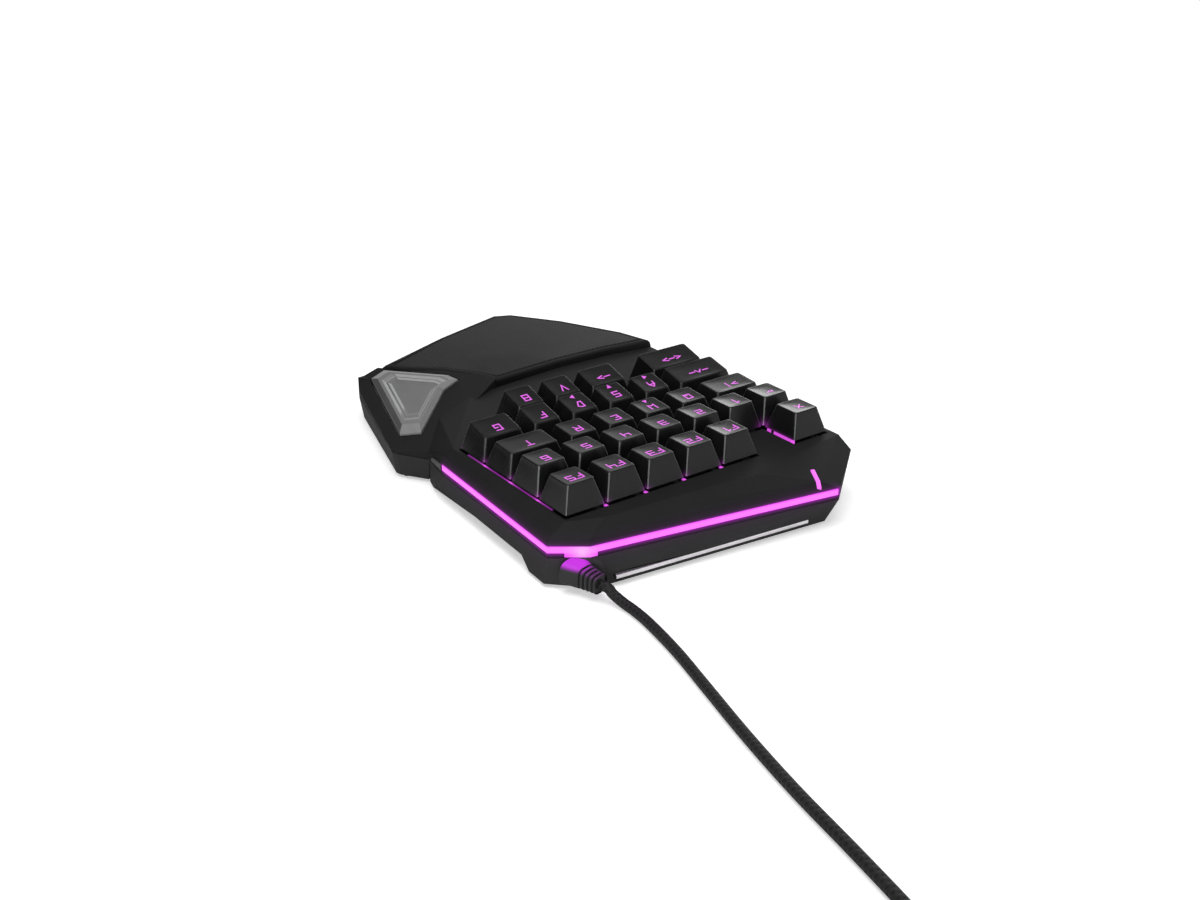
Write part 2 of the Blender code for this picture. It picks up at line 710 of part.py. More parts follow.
def build_bottom_housing(parent, material):
    """Model the lower tray with its side scoop, foot recesses, trim groove and cable bore."""
    top = PARTING_Z - FIT
    points = []
    for (shoulder, _, _), share in zip(main_corners(), UNDERCUT_SHARES):
        base = shoulder + Vector(share) * UNDERCUT
        points += [(*shoulder, top), (*base, BASE_Z)]
    points.append((FIELD_WIDTH - HEEL_CUT, HEEL_RUN, BASE_Z))
    for place in (wing_place(WING_EDGE_SHARES[0]), hinge_place(), *front_edge()[1:]):
        points += [(*place, top), (*place, BASE_Z)]
    housing = add_object("housing_bottom", hull_mesh("housing_bottom", points), parent, material)
    for name, outline, share in (
        ("wing_base", wing_outline(), WING_DRAFT_SHARE),
        ("palm_base", seat_outline(), PALM_DRAFT_SHARE),
    ):
        foot = level_ring(drawn_in(outline, UNDERCUT * share), BASE_Z)
        combine(housing, stacked_mesh(name, [foot, level_ring(outline, top)]), "UNION", parent)

    combine(housing, scoop_mesh(), "DIFFERENCE", parent)
    for name, outline in (
        ("field_tray", guide_outline(GUIDE_MARGIN + FIT)),
        ("back_tray", back_room_outline()),
        ("palm_tray", palm_room_outline()),
        ("wing_tray", wing_room_outline(WING_BORDER)),
    ):
        combine(housing, prism_mesh(name, outline, TRAY_Z, top + OVERRUN), "DIFFERENCE", parent)
    combine(housing, boss_mesh(), "UNION", parent)
    for mesh in (foot_recess_mesh(), trim_mesh("trim_groove", FIT), cable_bore_mesh()):
        combine(housing, mesh, "DIFFERENCE", parent)


def scoop_mesh():
    """Return the cutter that lifts the lower edge along the right side."""
    inner = FIELD_WIDTH + SIDE_RUN - SCOOP_DEPTH
    outer = FIELD_WIDTH + SIDE_RUN + UNDERCUT + OVERRUN
    top = BASE_Z + SCOOP_RISE
    profile = (
        (-SCOOP_START, BASE_Z - OVERRUN), (-SCOOP_START, BASE_Z), (-SCOOP_START - SCOOP_SLOPE_RUN, top),
        (-SCOOP_END + SCOOP_SLOPE_RUN, top), (-SCOOP_END, BASE_Z), (-SCOOP_END, BASE_Z - OVERRUN),
    )
    rings = [[Vector((x, y, z)) for y, z in profile] for x in (inner, outer)]
    return stacked_mesh("scoop", rings)


def boss_mesh():
    """Return the posts that carry the back plate and the thumb key's board."""
    outline = guide_outline()
    xs, ys = [point.x for point in outline], [point.y for point in outline]
    size = Vector((max(xs) - min(xs), min(ys) - max(ys)))
    places = [Vector((min(xs), max(ys))) + size * Vector(share) for share in BOSS_SHARES]
    posts = [(place, BOSS_RADIUS, backplate_z()) for place in places]
    thumb = thumb_middle().to_2d()
    reach = Vector((THUMB_BOSS_SHARE * THUMB_BOARD_LENGTH, 0.0))
    posts += [(place, THUMB_BOSS_RADIUS, thumb_board_z()) for place in (thumb - reach, thumb + reach)]
    meshes = []
    for place, radius, carried in posts:
        profile = ((radius, TRAY_Z - FLOOR_THICKNESS / 2), (radius, carried - FIT))
        mesh = turned_mesh("boss", profile)
        mesh.transform(Matrix.Translation((*place, 0.0)))
        meshes.append(mesh)
    return joined_mesh("bosses", meshes)


def plunger_end_z():
    """Return the height of the plungers' ends at rest."""
    return CAP_Z - PLUNGER_REACH


def dome_base_z():
    """Return the height of the rubber sheet's top, with room for a fully pressed plunger."""
    return plunger_end_z() - KEY_TRAVEL - FIT * 2


def circuit_z():
    """Return the height of the circuit sheet's underside."""
    return dome_base_z() - DOME_SHEET - FIT - CIRCUIT_THICKNESS


def backplate_z():
    """Return the height of the back plate's underside."""
    return circuit_z() - FIT - BACKPLATE_THICKNESS


def foot_matrices():
    """Yield each foot's name and its frame under the housing."""
    for place_of, feet in (
        (field_place, FIELD_FOOT_SHARES),
        (palm_place, PALM_FOOT_SHARES),
        (wing_place, WING_FOOT_SHARES),
    ):
        for name, share_x, share_y, turn in feet:
            place = Vector((*place_of((share_x, share_y)), 0.0))
            yield name, Matrix.Translation(place) @ Matrix.Rotation(math.radians(turn), 4, "Z")


def foot_ring(grow, height):
    """Return a foot's rounded outline."""
    return rounded_ring(FOOT_LENGTH / 2 + grow, FOOT_WIDTH / 2 + grow, FOOT_CORNER + grow, height)


def foot_recess_mesh():
    """Return the recesses that hold the feet."""
    rings = [foot_ring(FIT, BASE_Z - OVERRUN), foot_ring(FIT, BASE_Z + FOOT_RECESS)]
    meshes = []
    for name, frame in foot_matrices():
        mesh = stacked_mesh(name, rings)
        mesh.transform(frame)
        meshes.append(mesh)
    return joined_mesh("foot_recesses", meshes)


def build_feet(parent, material):
    """Set the rubber feet into their recesses."""
    rings = [foot_ring(0.0, 0.0), foot_ring(0.0, BASE_Z + FOOT_RECESS - FIT)]
    for name, frame in foot_matrices():
        foot = add_object(name, stacked_mesh(name, rings), parent, material)
        foot.matrix_local = frame


def band_outline(line, depth, reach):
    """Return the outline of a band along a wall's line, from a reach outside it to a depth inside."""
    ways = [(after - before).normalized() for before, after in zip(line, line[1:])]
    outs = [Vector((way.y, -way.x)) for way in ways]
    mitres = []
    for before, after in zip([outs[0], *outs], [*outs, outs[-1]]):
        mitre = (before + after).normalized()
        mitres.append(mitre / mitre.dot(before))
    outer = [point + mitre * reach for point, mitre in zip(line, mitres)]
    inner = [point - mitre * depth for point, mitre in zip(line, mitres)]
    return outer + inner[::-1]


def strip_mesh(name, grow):
    """Return the light strip as a band in the shoulder's face; the groove grows by its clearance."""
    walls = [corner[0] for corner in main_corners()]
    lip = STRIP_END_LIP - grow
    line = [walls[6] + (walls[0] - walls[6]).normalized() * lip, walls[0], walls[1],
            walls[2] + (walls[1] - walls[2]).normalized() * lip]
    outline = band_outline(line, STRIP_DEPTH + grow, OVERRUN if grow else 0.0)
    return prism_mesh(name, outline, STRIP_Z + FIT / 2 - grow, SHOULDER_Z - FIT / 2 + grow)


def strip_tab_mesh(name, grow):
    """Return the strip's deeper part over the strain relief, which lights its ribs."""
    walls = [corner[0] for corner in main_corners()]
    start, turn = walls[0].lerp(walls[1], STRIP_TAB_SHARES[0]), walls[1]
    end = walls[1].lerp(walls[2], STRIP_TAB_SHARES[1])
    line = [start - (turn - start).normalized() * grow, turn, end + (end - turn).normalized() * grow]
    outline = band_outline(line, STRIP_DEPTH + grow, OVERRUN if grow else 0.0)
    low = PARTING_Z - (OVERRUN if grow else 0.0)
    return prism_mesh(name, outline, low, STRIP_Z + STRIP_HEIGHT / 2)


def plane_height(corners, place):
    """Return the height over a plan point of the plane through three corners."""
    normal = (corners[1] - corners[0]).cross(corners[2] - corners[0])
    away = Vector((*place, 0.0)) - Vector((corners[0].x, corners[0].y, 0.0))
    return corners[0].z - normal.dot(away) / normal.z


def indicator_mesh(name, grow, overrun=0.0):
    """Return the indicator bar, which bends over the rim's crease near the far corner."""
    corners = main_corners()
    far_rim, near_rim = Vector((*corners[2][1], RIM_Z)), Vector((*corners[1][1], RIM_Z))
    slope = (Vector((*corners[2][2], DECK_Z)), Vector((*corners[3][2], DECK_Z)), far_rim)
    bevel = (far_rim, near_rim, Vector((*corners[2][0], SHOULDER_Z)))
    crossing = far_rim.lerp(near_rim, INDICATOR_PLACE_SHARE).to_2d()
    along = Vector((math.sin(INDICATOR_TURN), math.cos(INDICATOR_TURN)))
    side = Vector((along.y, -along.x)) * (INDICATOR_WIDTH / 2 + grow)
    start = crossing - along * (INDICATOR_RISE + grow)
    end = crossing + along * (INDICATOR_FALL + grow)
    heights = (plane_height(slope, start), RIM_Z, plane_height(bevel, end))
    places = (start, crossing, end)
    top = INDICATOR_PROUD + overrun
    depth = INDICATOR_DEPTH + grow
    rings = []
    for across in (-side, side):
        line = [Vector((*(place + across), height)) for place, height in zip(places, heights)]
        upper = [point + Vector((0.0, 0.0, top)) for point in line]
        lower = [point - Vector((0.0, 0.0, depth)) for point in line]
        rings.append(upper + lower[::-1])
    return stacked_mesh(name, rings)


def trim_mesh(name, grow):
    """Return the bright bar along the foot of the back panel."""
    corners = main_corners()
    heel = Vector((FIELD_WIDTH - HEEL_CUT, HEEL_RUN, BASE_Z))
    far = Vector((*(corners[2][0] + Vector(UNDERCUT_SHARES[2]) * UNDERCUT), BASE_Z))
    top = Vector((*corners[2][0], PARTING_Z - FIT))
    edge = (far - heel).normalized()
    rise = (top - far) - edge * (top - far).dot(edge)
    lift = rise * (TRIM_ABOVE_BASE / rise.z)
    first = (heel.lerp(far, TRIM_START_SHARE) + lift).to_2d()
    last = (heel.lerp(far, TRIM_END_SHARE) + lift).to_2d()
    along = (last - first).normalized()
    out = Vector((along.y, -along.x))
    start, end = first - along * grow, last + along * grow
    front = out * (TRIM_PROUD + (OVERRUN if grow else 0.0))
    back = out * (TRIM_DEPTH + grow)
    low = BASE_Z + TRIM_ABOVE_BASE
    outline = [start + front, end + front, end - back, start - back]
    return prism_mesh(name, outline, low - grow, low + TRIM_HEIGHT + grow)


def thumb_outline():
    """Return the thumb key's outline in the wing's own frame."""
    frame = wing_matrix().inverted()
    return [(frame @ on_wing(wing_place(share))).to_2d() for share in THUMB_CORNER_SHARES]


def thumb_centre(outline):
    """Return the middle of the thumb key's corners."""
    return sum(outline, Vector((0.0, 0.0))) / len(outline)


def thumb_middle():
    """Return the point of the wing's surface in the middle of the thumb key."""
    return wing_matrix() @ Vector((*thumb_centre(thumb_outline()), 0.0))


def thumb_dome_z():
    """Return the height of the thumb key's dome's foot."""
    return thumb_middle().z - THUMB_POST_DROP - FIT - THUMB_DOME_HEIGHT


def thumb_board_z():
    """Return the height of the underside of the thumb key's board."""
    return thumb_dome_z() - FIT - BOARD_THICKNESS


def thumb_opening_mesh():
    """Return the cutter for the thumb key's opening."""
    outline = drawn_in(thumb_outline(), -THUMB_FIT)
    mesh = prism_mesh("thumb_opening", outline, -WING_THICKNESS - FIT, OVERRUN)
    mesh.transform(wing_matrix())
    return mesh


def thumb_post_mesh():
    """Return the post under the thumb key, from a level foot over the dome up into the ceiling."""
    middle = thumb_middle()
    half = THUMB_POST_WIDTH / 2
    foot = rounded_ring(half, half, THUMB_POST_CORNER, -THUMB_POST_DROP)
    foot = [point + middle for point in foot]
    return stacked_mesh("thumb_post", [foot, [on_wing(point) for point in foot]])


def build_thumb_key(parent, material):
    """Model the translucent thumb key: bevelled face, sunk relief, hollow underside, flange and post.

    The skirt has no flange along its plain edges, by the wing's front tip, but draws in there to
    clear the wall.
    """
    outline = thumb_outline()
    centre = thumb_centre(outline)
    local = [point - centre for point in outline]
    plain = THUMB_PLAIN_EDGE_SHARES
    skirt = drawn_in(local, [share * THUMB_SKIRT_DRAFT for share in plain])
    flange = drawn_in(skirt, [(share - 1.0) * (THUMB_FLANGE_RUN + THUMB_FIT) for share in plain])
    inner = drawn_in(skirt, THUMB_WALL)
    flange_top = -WING_THICKNESS - FIT
    end = flange_top - THUMB_FLANGE
    rings = [
        level_ring(inner, THUMB_RISE - THUMB_RELIEF - THUMB_CEILING),
        level_ring(inner, end),
        level_ring(flange, end),
        level_ring(flange, flange_top),
        level_ring(skirt, flange_top),
        level_ring(local, THUMB_EDGE_RISE),
        level_ring([point * THUMB_TOP_SHARE for point in local], THUMB_RISE),
        level_ring([point * THUMB_RELIEF_SHARE for point in local], THUMB_RISE),
        level_ring([point * THUMB_FLOOR_SHARE for point in local], THUMB_RISE - THUMB_RELIEF),
    ]
    key = add_object("thumb_key", stacked_mesh("thumb_key", rings), parent, material)
    key.matrix_local = wing_matrix() @ Matrix.Translation((*centre, 0.0))
    combine(key, thumb_post_mesh(), "UNION", parent)


def build_thumb_switch(parent, dome_material, board_material):
    """Model the thumb key's rubber dome and the board under it, level in the wing's hollow."""
    place = (*thumb_middle().to_2d(), 0.0)
    low = thumb_dome_z()
    profile = (
        (THUMB_DOME_FLANGE_RADIUS, low),
        (THUMB_DOME_FLANGE_RADIUS, low + DOME_SHEET),
        (DOME_RADIUS, low + DOME_SHEET),
        (DOME_TOP_RADIUS, low + THUMB_DOME_HEIGHT),
    )
    dome = add_object("thumb_dome", turned_mesh("thumb_dome", profile), parent, dome_material)
    dome.location = place
    low = thumb_board_z()
    half_x, half_y = THUMB_BOARD_LENGTH / 2, THUMB_BOARD_WIDTH / 2
    rings = [
        rounded_ring(half_x, half_y, THUMB_BOARD_CORNER, height) for height in (low, low + BOARD_THICKNESS)
    ]
    board = add_object("thumb_board", stacked_mesh("thumb_board", rings), parent, board_material)
    board.location = place


def palm_outline():
    """Return the wrist rest's foot in plan: free sides, then the wing's edge, then the deck's edge."""
    free = [palm_place(share) for share in PALM_SHARES]
    tip = wing_place(WING_EDGE_SHARES[5])
    edge = [wing_place(share) for share in PALM_EDGE_SHARES]
    deck_edge = list(reversed(front_edge()[1:-1]))
    return [*free[1:], tip, *edge, *deck_edge, front_edge()[0]]


def palm_insets(free, held):
    """Return an inset for each edge of the wrist rest: its free sides, and those along the housing."""
    free_count = len(PALM_SHARES) - 1
    held_count = len(palm_outline()) - free_count - 1
    return [free] * free_count + [held] * held_count + [free]


def palm_ring(inset, drop):
    """Return the wrist rest's top ring, drawn in by an inset and lowered by a drop."""
    ring = drawn_in(palm_outline(), palm_insets(PALM_DRAFT + inset, FIT + inset))
    free_count = len(PALM_SHARES) - 1
    top = PARTING_Z + PALM_SEAT_RISE + PALM_HEIGHT - drop
    crease_a, crease_b = ring[free_count - 1], ring[free_count + len(PALM_EDGE_SHARES)]
    along = (crease_b - crease_a).normalized()
    across = Vector((along.y, -along.x))
    tip = ring[free_count]
    reach = (tip - crease_a).dot(across)
    result = []
    for point in ring:
        share = max(0.0, (point - crease_a).dot(across) / reach)
        result.append(Vector((point.x, point.y, top - PALM_TIP_DROP * share)))
    return result


def build_wrist_rest(parent, material, pad_material):
    """Model the wrist rest and the soft pad let into it."""
    free_count = len(PALM_SHARES) - 1
    crease = ((free_count - 1, free_count + len(PALM_EDGE_SHARES)),)
    outline = drawn_in(palm_outline(), palm_insets(WALL / 4, FIT))
    foot = level_ring(outline, PARTING_Z + PALM_SEAT_RISE + FIT)
    rings = [foot, palm_ring(0.0, PALM_BEVEL), palm_ring(PALM_BEVEL, 0.0)]
    rest = add_object("wrist_rest", stacked_mesh("wrist_rest", rings, (), crease), parent, material)
    pocket = [palm_ring(PAD_BORDER - FIT, PAD_THICKNESS), palm_ring(PAD_BORDER - FIT, -OVERRUN)]
    combine(rest, stacked_mesh("pad_pocket", pocket, crease, crease), "DIFFERENCE", parent)
    pad = [palm_ring(PAD_BORDER, PAD_THICKNESS - FIT), palm_ring(PAD_BORDER, -PAD_PROUD)]
    add_object("wrist_pad", stacked_mesh("wrist_pad", pad, crease, crease), parent, pad_material)


def build_guide_plate(parent, material):
    """Model the plate under the deck, with a square sleeve round each plunger."""
    top = DECK_Z - DECK_THICKNESS - FIT
    low = top - GUIDE_THICKNESS
    plate_mesh = prism_mesh("guide_plate", guide_outline(), low, top)
    plate = add_object("guide_plate", plate_mesh, parent, material)
    bore = PLUNGER_WIDTH / 2 + FIT
    sleeve_top = top + SLEEVE_RISE
    sleeves, bores = [], []
    for name, _, centre, _ in cap_cells():
        outer = square_outline(centre, bore + SLEEVE_WALL)
        sleeves.append(prism_mesh(name, outer, top - GUIDE_THICKNESS / 2, sleeve_top))
        bores.append(prism_mesh(name, square_outline(centre, bore), low - OVERRUN, sleeve_top + OVERRUN))
    combine(plate, joined_mesh("sleeves", sleeves), "UNION", parent)
    combine(plate, joined_mesh("bores", bores), "DIFFERENCE", parent)


def square_outline(centre, half):
    """Return a square in plan about its centre."""
    return [centre + half * Vector(share) for share in SQUARE_SHARES]


def build_dome_sheet(parent, material):
    """Model the rubber sheet with one dome under each plunger."""
    base = dome_base_z()
    sheet_mesh = prism_mesh("dome_sheet", guide_outline(), base - DOME_SHEET, base)
    sheet = add_object("dome_sheet", sheet_mesh, parent, material)
    profile = (
        (DOME_RADIUS, base - DOME_SHEET / 2),
        (DOME_RADIUS, base + DOME_SHEET / 2),
        (DOME_TOP_RADIUS, plunger_end_z() - FIT),
    )
    domes = []
    for name, _, centre, _ in cap_cells():
        dome = turned_mesh(name, profile, DOME_SIDES)
        dome.transform(Matrix.Translation((*centre, 0.0)))
        domes.append(dome)
    combine(sheet, joined_mesh("domes", domes), "UNION", parent)


def build_plates(parent, circuit_material, plate_material, board_material):
    """Model the circuit sheet, the steel back plate and the controller board."""
    outline = guide_outline()
    corner = Vector((BOARD_CORNER_RUN, GUIDE_MARGIN + FIT))
    far = corner + Vector((BOARD_LENGTH, BOARD_WIDTH))
    board = [corner, Vector((far.x, corner.y)), far, Vector((corner.x, far.y))]
    for name, plan, low, thickness, material in (
        ("circuit_sheet", outline, circuit_z(), CIRCUIT_THICKNESS, circuit_material),
        ("back_plate", outline, backplate_z(), BACKPLATE_THICKNESS, plate_material),
        ("controller_board", board, TRAY_Z + FIT, BOARD_THICKNESS, board_material),
    ):
        add_object(name, prism_mesh(name, plan, low, low + thickness), parent, material)


def cable_frame():
    """Return the frame of the cable's exit: its origin on the chamfer's wall, +Z along the cable."""
    share = CABLE_RISE / (PARTING_Z - FIT - BASE_Z)
    walls = []
    for (shoulder, _, _), base_share in list(zip(main_corners(), UNDERCUT_SHARES))[:2]:
        base = shoulder + Vector(base_share) * UNDERCUT
        walls.append(base.lerp(shoulder, share))
    place = walls[0].lerp(walls[1], CABLE_WALL_SHARE)
    direction = Vector(CABLE_DIRECTION_SHARES).normalized()
    side = Vector((0.0, 0.0, 1.0)).cross(direction).normalized()
    frame = Matrix((side, direction.cross(side), direction)).transposed().to_4x4()
    frame.translation = Vector((*place, BASE_Z + CABLE_RISE))
    return frame


def turned_mesh(name, profile, sides=ROUND_SIDES):
    """Turn a profile of (radius, height) pairs about Z."""
    angles = [2 * math.pi * step / sides for step in range(sides)]
    rings = []
    for radius, height in profile:
        ring = [Vector((radius * math.cos(angle), radius * math.sin(angle), height)) for angle in angles]
        rings.append(ring)
    return stacked_mesh(name, rings)


def cable_bore_mesh():
    """Return the cutter for the strain relief: its flange's groove, its bore and a recess round it."""
    neck_start = -BOOT_ROOT_REACH - BOOT_NECK_LENGTH + FIT
    profile = (
        (BOOT_FLANGE_RADIUS + FIT, neck_start - BOOT_FLANGE_THICKNESS - 2 * FIT),
        (BOOT_FLANGE_RADIUS + FIT, neck_start),
        (BOOT_NECK_RADIUS + FIT, neck_start),
        (BOOT_NECK_RADIUS + FIT, -BOOT_ROOT_REACH - FIT),
        (BOOT_ROOT_RADIUS + FIT, -BOOT_ROOT_REACH - FIT),
        (BOOT_ROOT_RADIUS + FIT, RECESS_START),
        (RECESS_RADIUS, RECESS_START),
        (RECESS_RADIUS, boot_end()),
    )
    mesh = turned_mesh("cable_bore", profile)
    mesh.transform(cable_frame())
    return mesh


def boot_end():
    """Return the distance from the wall to the strain relief's end."""
    return BOOT_COLLAR_END + BOOT_RIBS * BOOT_RIB_STEP


def boot_mesh():
    """Return the strain relief: a flange inside the wall, a neck, a flaring collar and ribs."""
    inside = -BOOT_ROOT_REACH - BOOT_NECK_LENGTH
    profile = [
        (BOOT_FLANGE_RADIUS, inside - BOOT_FLANGE_THICKNESS), (BOOT_FLANGE_RADIUS, inside),
        (BOOT_NECK_RADIUS, inside), (BOOT_NECK_RADIUS, -BOOT_ROOT_REACH),
        (BOOT_ROOT_RADIUS, -BOOT_ROOT_REACH), (BOOT_ROOT_RADIUS, BOOT_FLARE_START),
        (BOOT_COLLAR_RADIUS, BOOT_COLLAR_END),
    ]
    for rib in range(BOOT_RIBS):
        start = BOOT_COLLAR_END + rib * BOOT_RIB_STEP
        groove_end = start + BOOT_RIB_STEP * BOOT_GROOVE_SHARE
        radius = BOOT_COLLAR_RADIUS + (BOOT_END_RADIUS - BOOT_COLLAR_RADIUS) * (rib + 1) / BOOT_RIBS
        groove = radius - BOOT_RIB_DEPTH
        profile += [(groove, start), (groove, groove_end)]
        profile += [(radius, groove_end), (radius, start + BOOT_RIB_STEP)]
    mesh = turned_mesh("strain_relief", profile)
    mesh.transform(cable_frame())
    return mesh


def smooth_line(points, step, straight):
    """Return points at even steps along a smooth curve, with one straight run at each end."""
    padded = [2 * points[0] - points[1], *points, 2 * points[-1] - points[-2]]
    dense = []
    for before, start, end, after in zip(padded, padded[1:], padded[2:], padded[3:]):
        for part in np.linspace(0.0, 1.0, CURVE_STEPS, endpoint=False):
            blend = (
                2 * start + part * (end - before) + part ** 2 * (2 * before - 5 * start + 4 * end - after)
                + part ** 3 * (3 * start - before - 3 * end + after)
            )
            dense.append(blend / 2)
    dense = np.array([*dense, points[-1]])
    travelled = np.concatenate(([0.0], np.cumsum(np.linalg.norm(np.diff(dense, axis=0), axis=1))))
    length = travelled[-1]
    between = np.linspace(straight, length - straight, round((length - 2 * straight) / step) + 1)
    marks = np.array([0.0, *between, length])
    return np.stack([np.interp(marks, travelled, dense[:, axis]) for axis in range(3)], axis=1)


def line_length(points):
    """Return the length along a line of points."""
    return float(np.linalg.norm(np.diff(points, axis=0), axis=1).sum())


def rest_height():
    """Return the height of the cord's middle where it lies on the desk."""
    return CORD_RADIUS * CORD_REST_SHARE


def coil_points():
    """Return the coil's line: spirals in and out, one on another, and a stretch across the top."""
    pitch = 2 * CORD_RADIUS + CORD_GAP
    outer = COIL_MIDDLE_RADIUS + pitch * COIL_LAYER_TURNS / 2
    turns = COIL_LAYERS * COIL_LAYER_TURNS
    place = np.array(COIL_PLACE)
    points = []
    for step in range(turns * COIL_POINTS + 1):
        turn = step / COIL_POINTS
        layer = min(int(turn / COIL_LAYER_TURNS), COIL_LAYERS - 1)
        share = turn - layer * COIL_LAYER_TURNS
        radius = outer - pitch * (share if layer % 2 == 0 else COIL_LAYER_TURNS - share)
        angle = COIL_HEADING + math.pi / 2 - 2 * math.pi * turn
        since = [2 * (turn - edge * COIL_LAYER_TURNS) + 0.5 for edge in range(1, COIL_LAYERS)]
        climbs = [min(max(share, 0.0), 1.0) for share in since]
        climbs.append(max(2 * (turn - turns) + 1.0, 0.0))
        height = rest_height() + pitch * sum(climbs)
        around = np.array([math.cos(angle), math.sin(angle)])
        points.append((*(place + radius * around), height))
    ahead = np.array([math.cos(COIL_HEADING), math.sin(COIL_HEADING)])
    right = np.array([ahead[1], -ahead[0]])
    start, low = np.array(points[-1][:2]), points[-1][2]
    bend_steps = COIL_POINTS // 2
    for step in range(1, bend_steps + 1):
        angle = math.pi / 2 * step / bend_steps
        reach = COIL_BEND_RADIUS * (ahead * math.sin(angle) + right * (1 - math.cos(angle)))
        points.append((*(start + reach), low + (plug_height() - low) * step / bend_steps))
    tangent = 2 * CORD_RADIUS
    points.append((*(np.array(points[-1][:2]) + right * tangent), plug_height()))
    first = np.array(points[0])
    points.insert(0, tuple(first - np.array([*ahead, 0.0]) * tangent))
    return np.array(points)


def plug_height():
    """Return the height of the plug's middle where it lies on the coil's top."""
    pitch = 2 * CORD_RADIUS + CORD_GAP
    return rest_height() + pitch * (COIL_LAYERS - 1) + CORD_RADIUS + FIT + PLUG_HEIGHT / 2


def self_gap(points):
    """Return the least gap between stretches of a tube that lie well apart along it."""
    travelled = np.concatenate(([0.0], np.cumsum(np.linalg.norm(np.diff(points, axis=0), axis=1))))
    apart = np.abs(travelled[:, None] - travelled[None, :]) > CORD_APART_SHARE * CORD_RADIUS
    spans = np.linalg.norm(points[:, None, :] - points[None, :, :], axis=2)
    return float(spans[apart].min() - 2 * CORD_RADIUS)


def lead_points():
    """Return the free stretch's line from the strain relief to the coil."""
    frame = cable_frame()
    exit_place = boot_end() + FIT
    straight = 2 * CORD_RADIUS
    route = [np.array(frame @ Vector((0.0, 0.0, place))) for place in (exit_place, exit_place + straight)]
    route += [np.array([x, y, rest_height() + rise]) for x, y, rise in LEAD_ROUTE]
    ahead = np.array([math.cos(COIL_HEADING), math.sin(COIL_HEADING), 0.0])
    end = coil_points()[0] - ahead * FIT
    route += [end - ahead * straight, end]
    return smooth_line(route, LEAD_STEP_SHARE * CORD_RADIUS, straight)


def cord_object(name, points, sides, parent, material):
    """Add a round cord along a line of points."""
    curve = bpy.data.curves.new(name, "CURVE")
    curve.dimensions = "3D"
    curve.bevel_depth = CORD_RADIUS
    curve.bevel_resolution = sides // 2 - 2
    curve.use_fill_caps = True
    spline = curve.splines.new("POLY")
    spline.points.add(len(points) - 1)
    for target, point in zip(spline.points, points):
        target.co = (*point, 1.0)
    curve.materials.append(material)
    item = bpy.data.objects.new(name, curve)
    bpy.context.scene.collection.objects.link(item)
    item.parent = parent


def plug_ring(width, height, chamfer, place):
    """Return a chamfered rectangle across the plug's axis, which runs along local X."""
    half_y, half_z = width / 2, height / 2
    quarter = ((half_y, half_z - chamfer), (half_y - chamfer, half_z))
    upper = [*quarter, *((-y, z) for y, z in reversed(quarter))]
    lower = [(y, -z) for y, z in reversed(upper)]
    return [Vector((place, y, z)) for y, z in (*upper, *lower)]


def plug_frame():
    """Return the plug's frame: its origin on the cord's end, +X away from the cord."""
    end, before = (Vector(point) for point in (coil_points()[-1], coil_points()[-2]))
    along = (end - before).normalized()
    up = Vector((0.0, 0.0, 1.0))
    frame = Matrix((along, up.cross(along), up)).transposed().to_4x4()
    frame.translation = end
    return frame


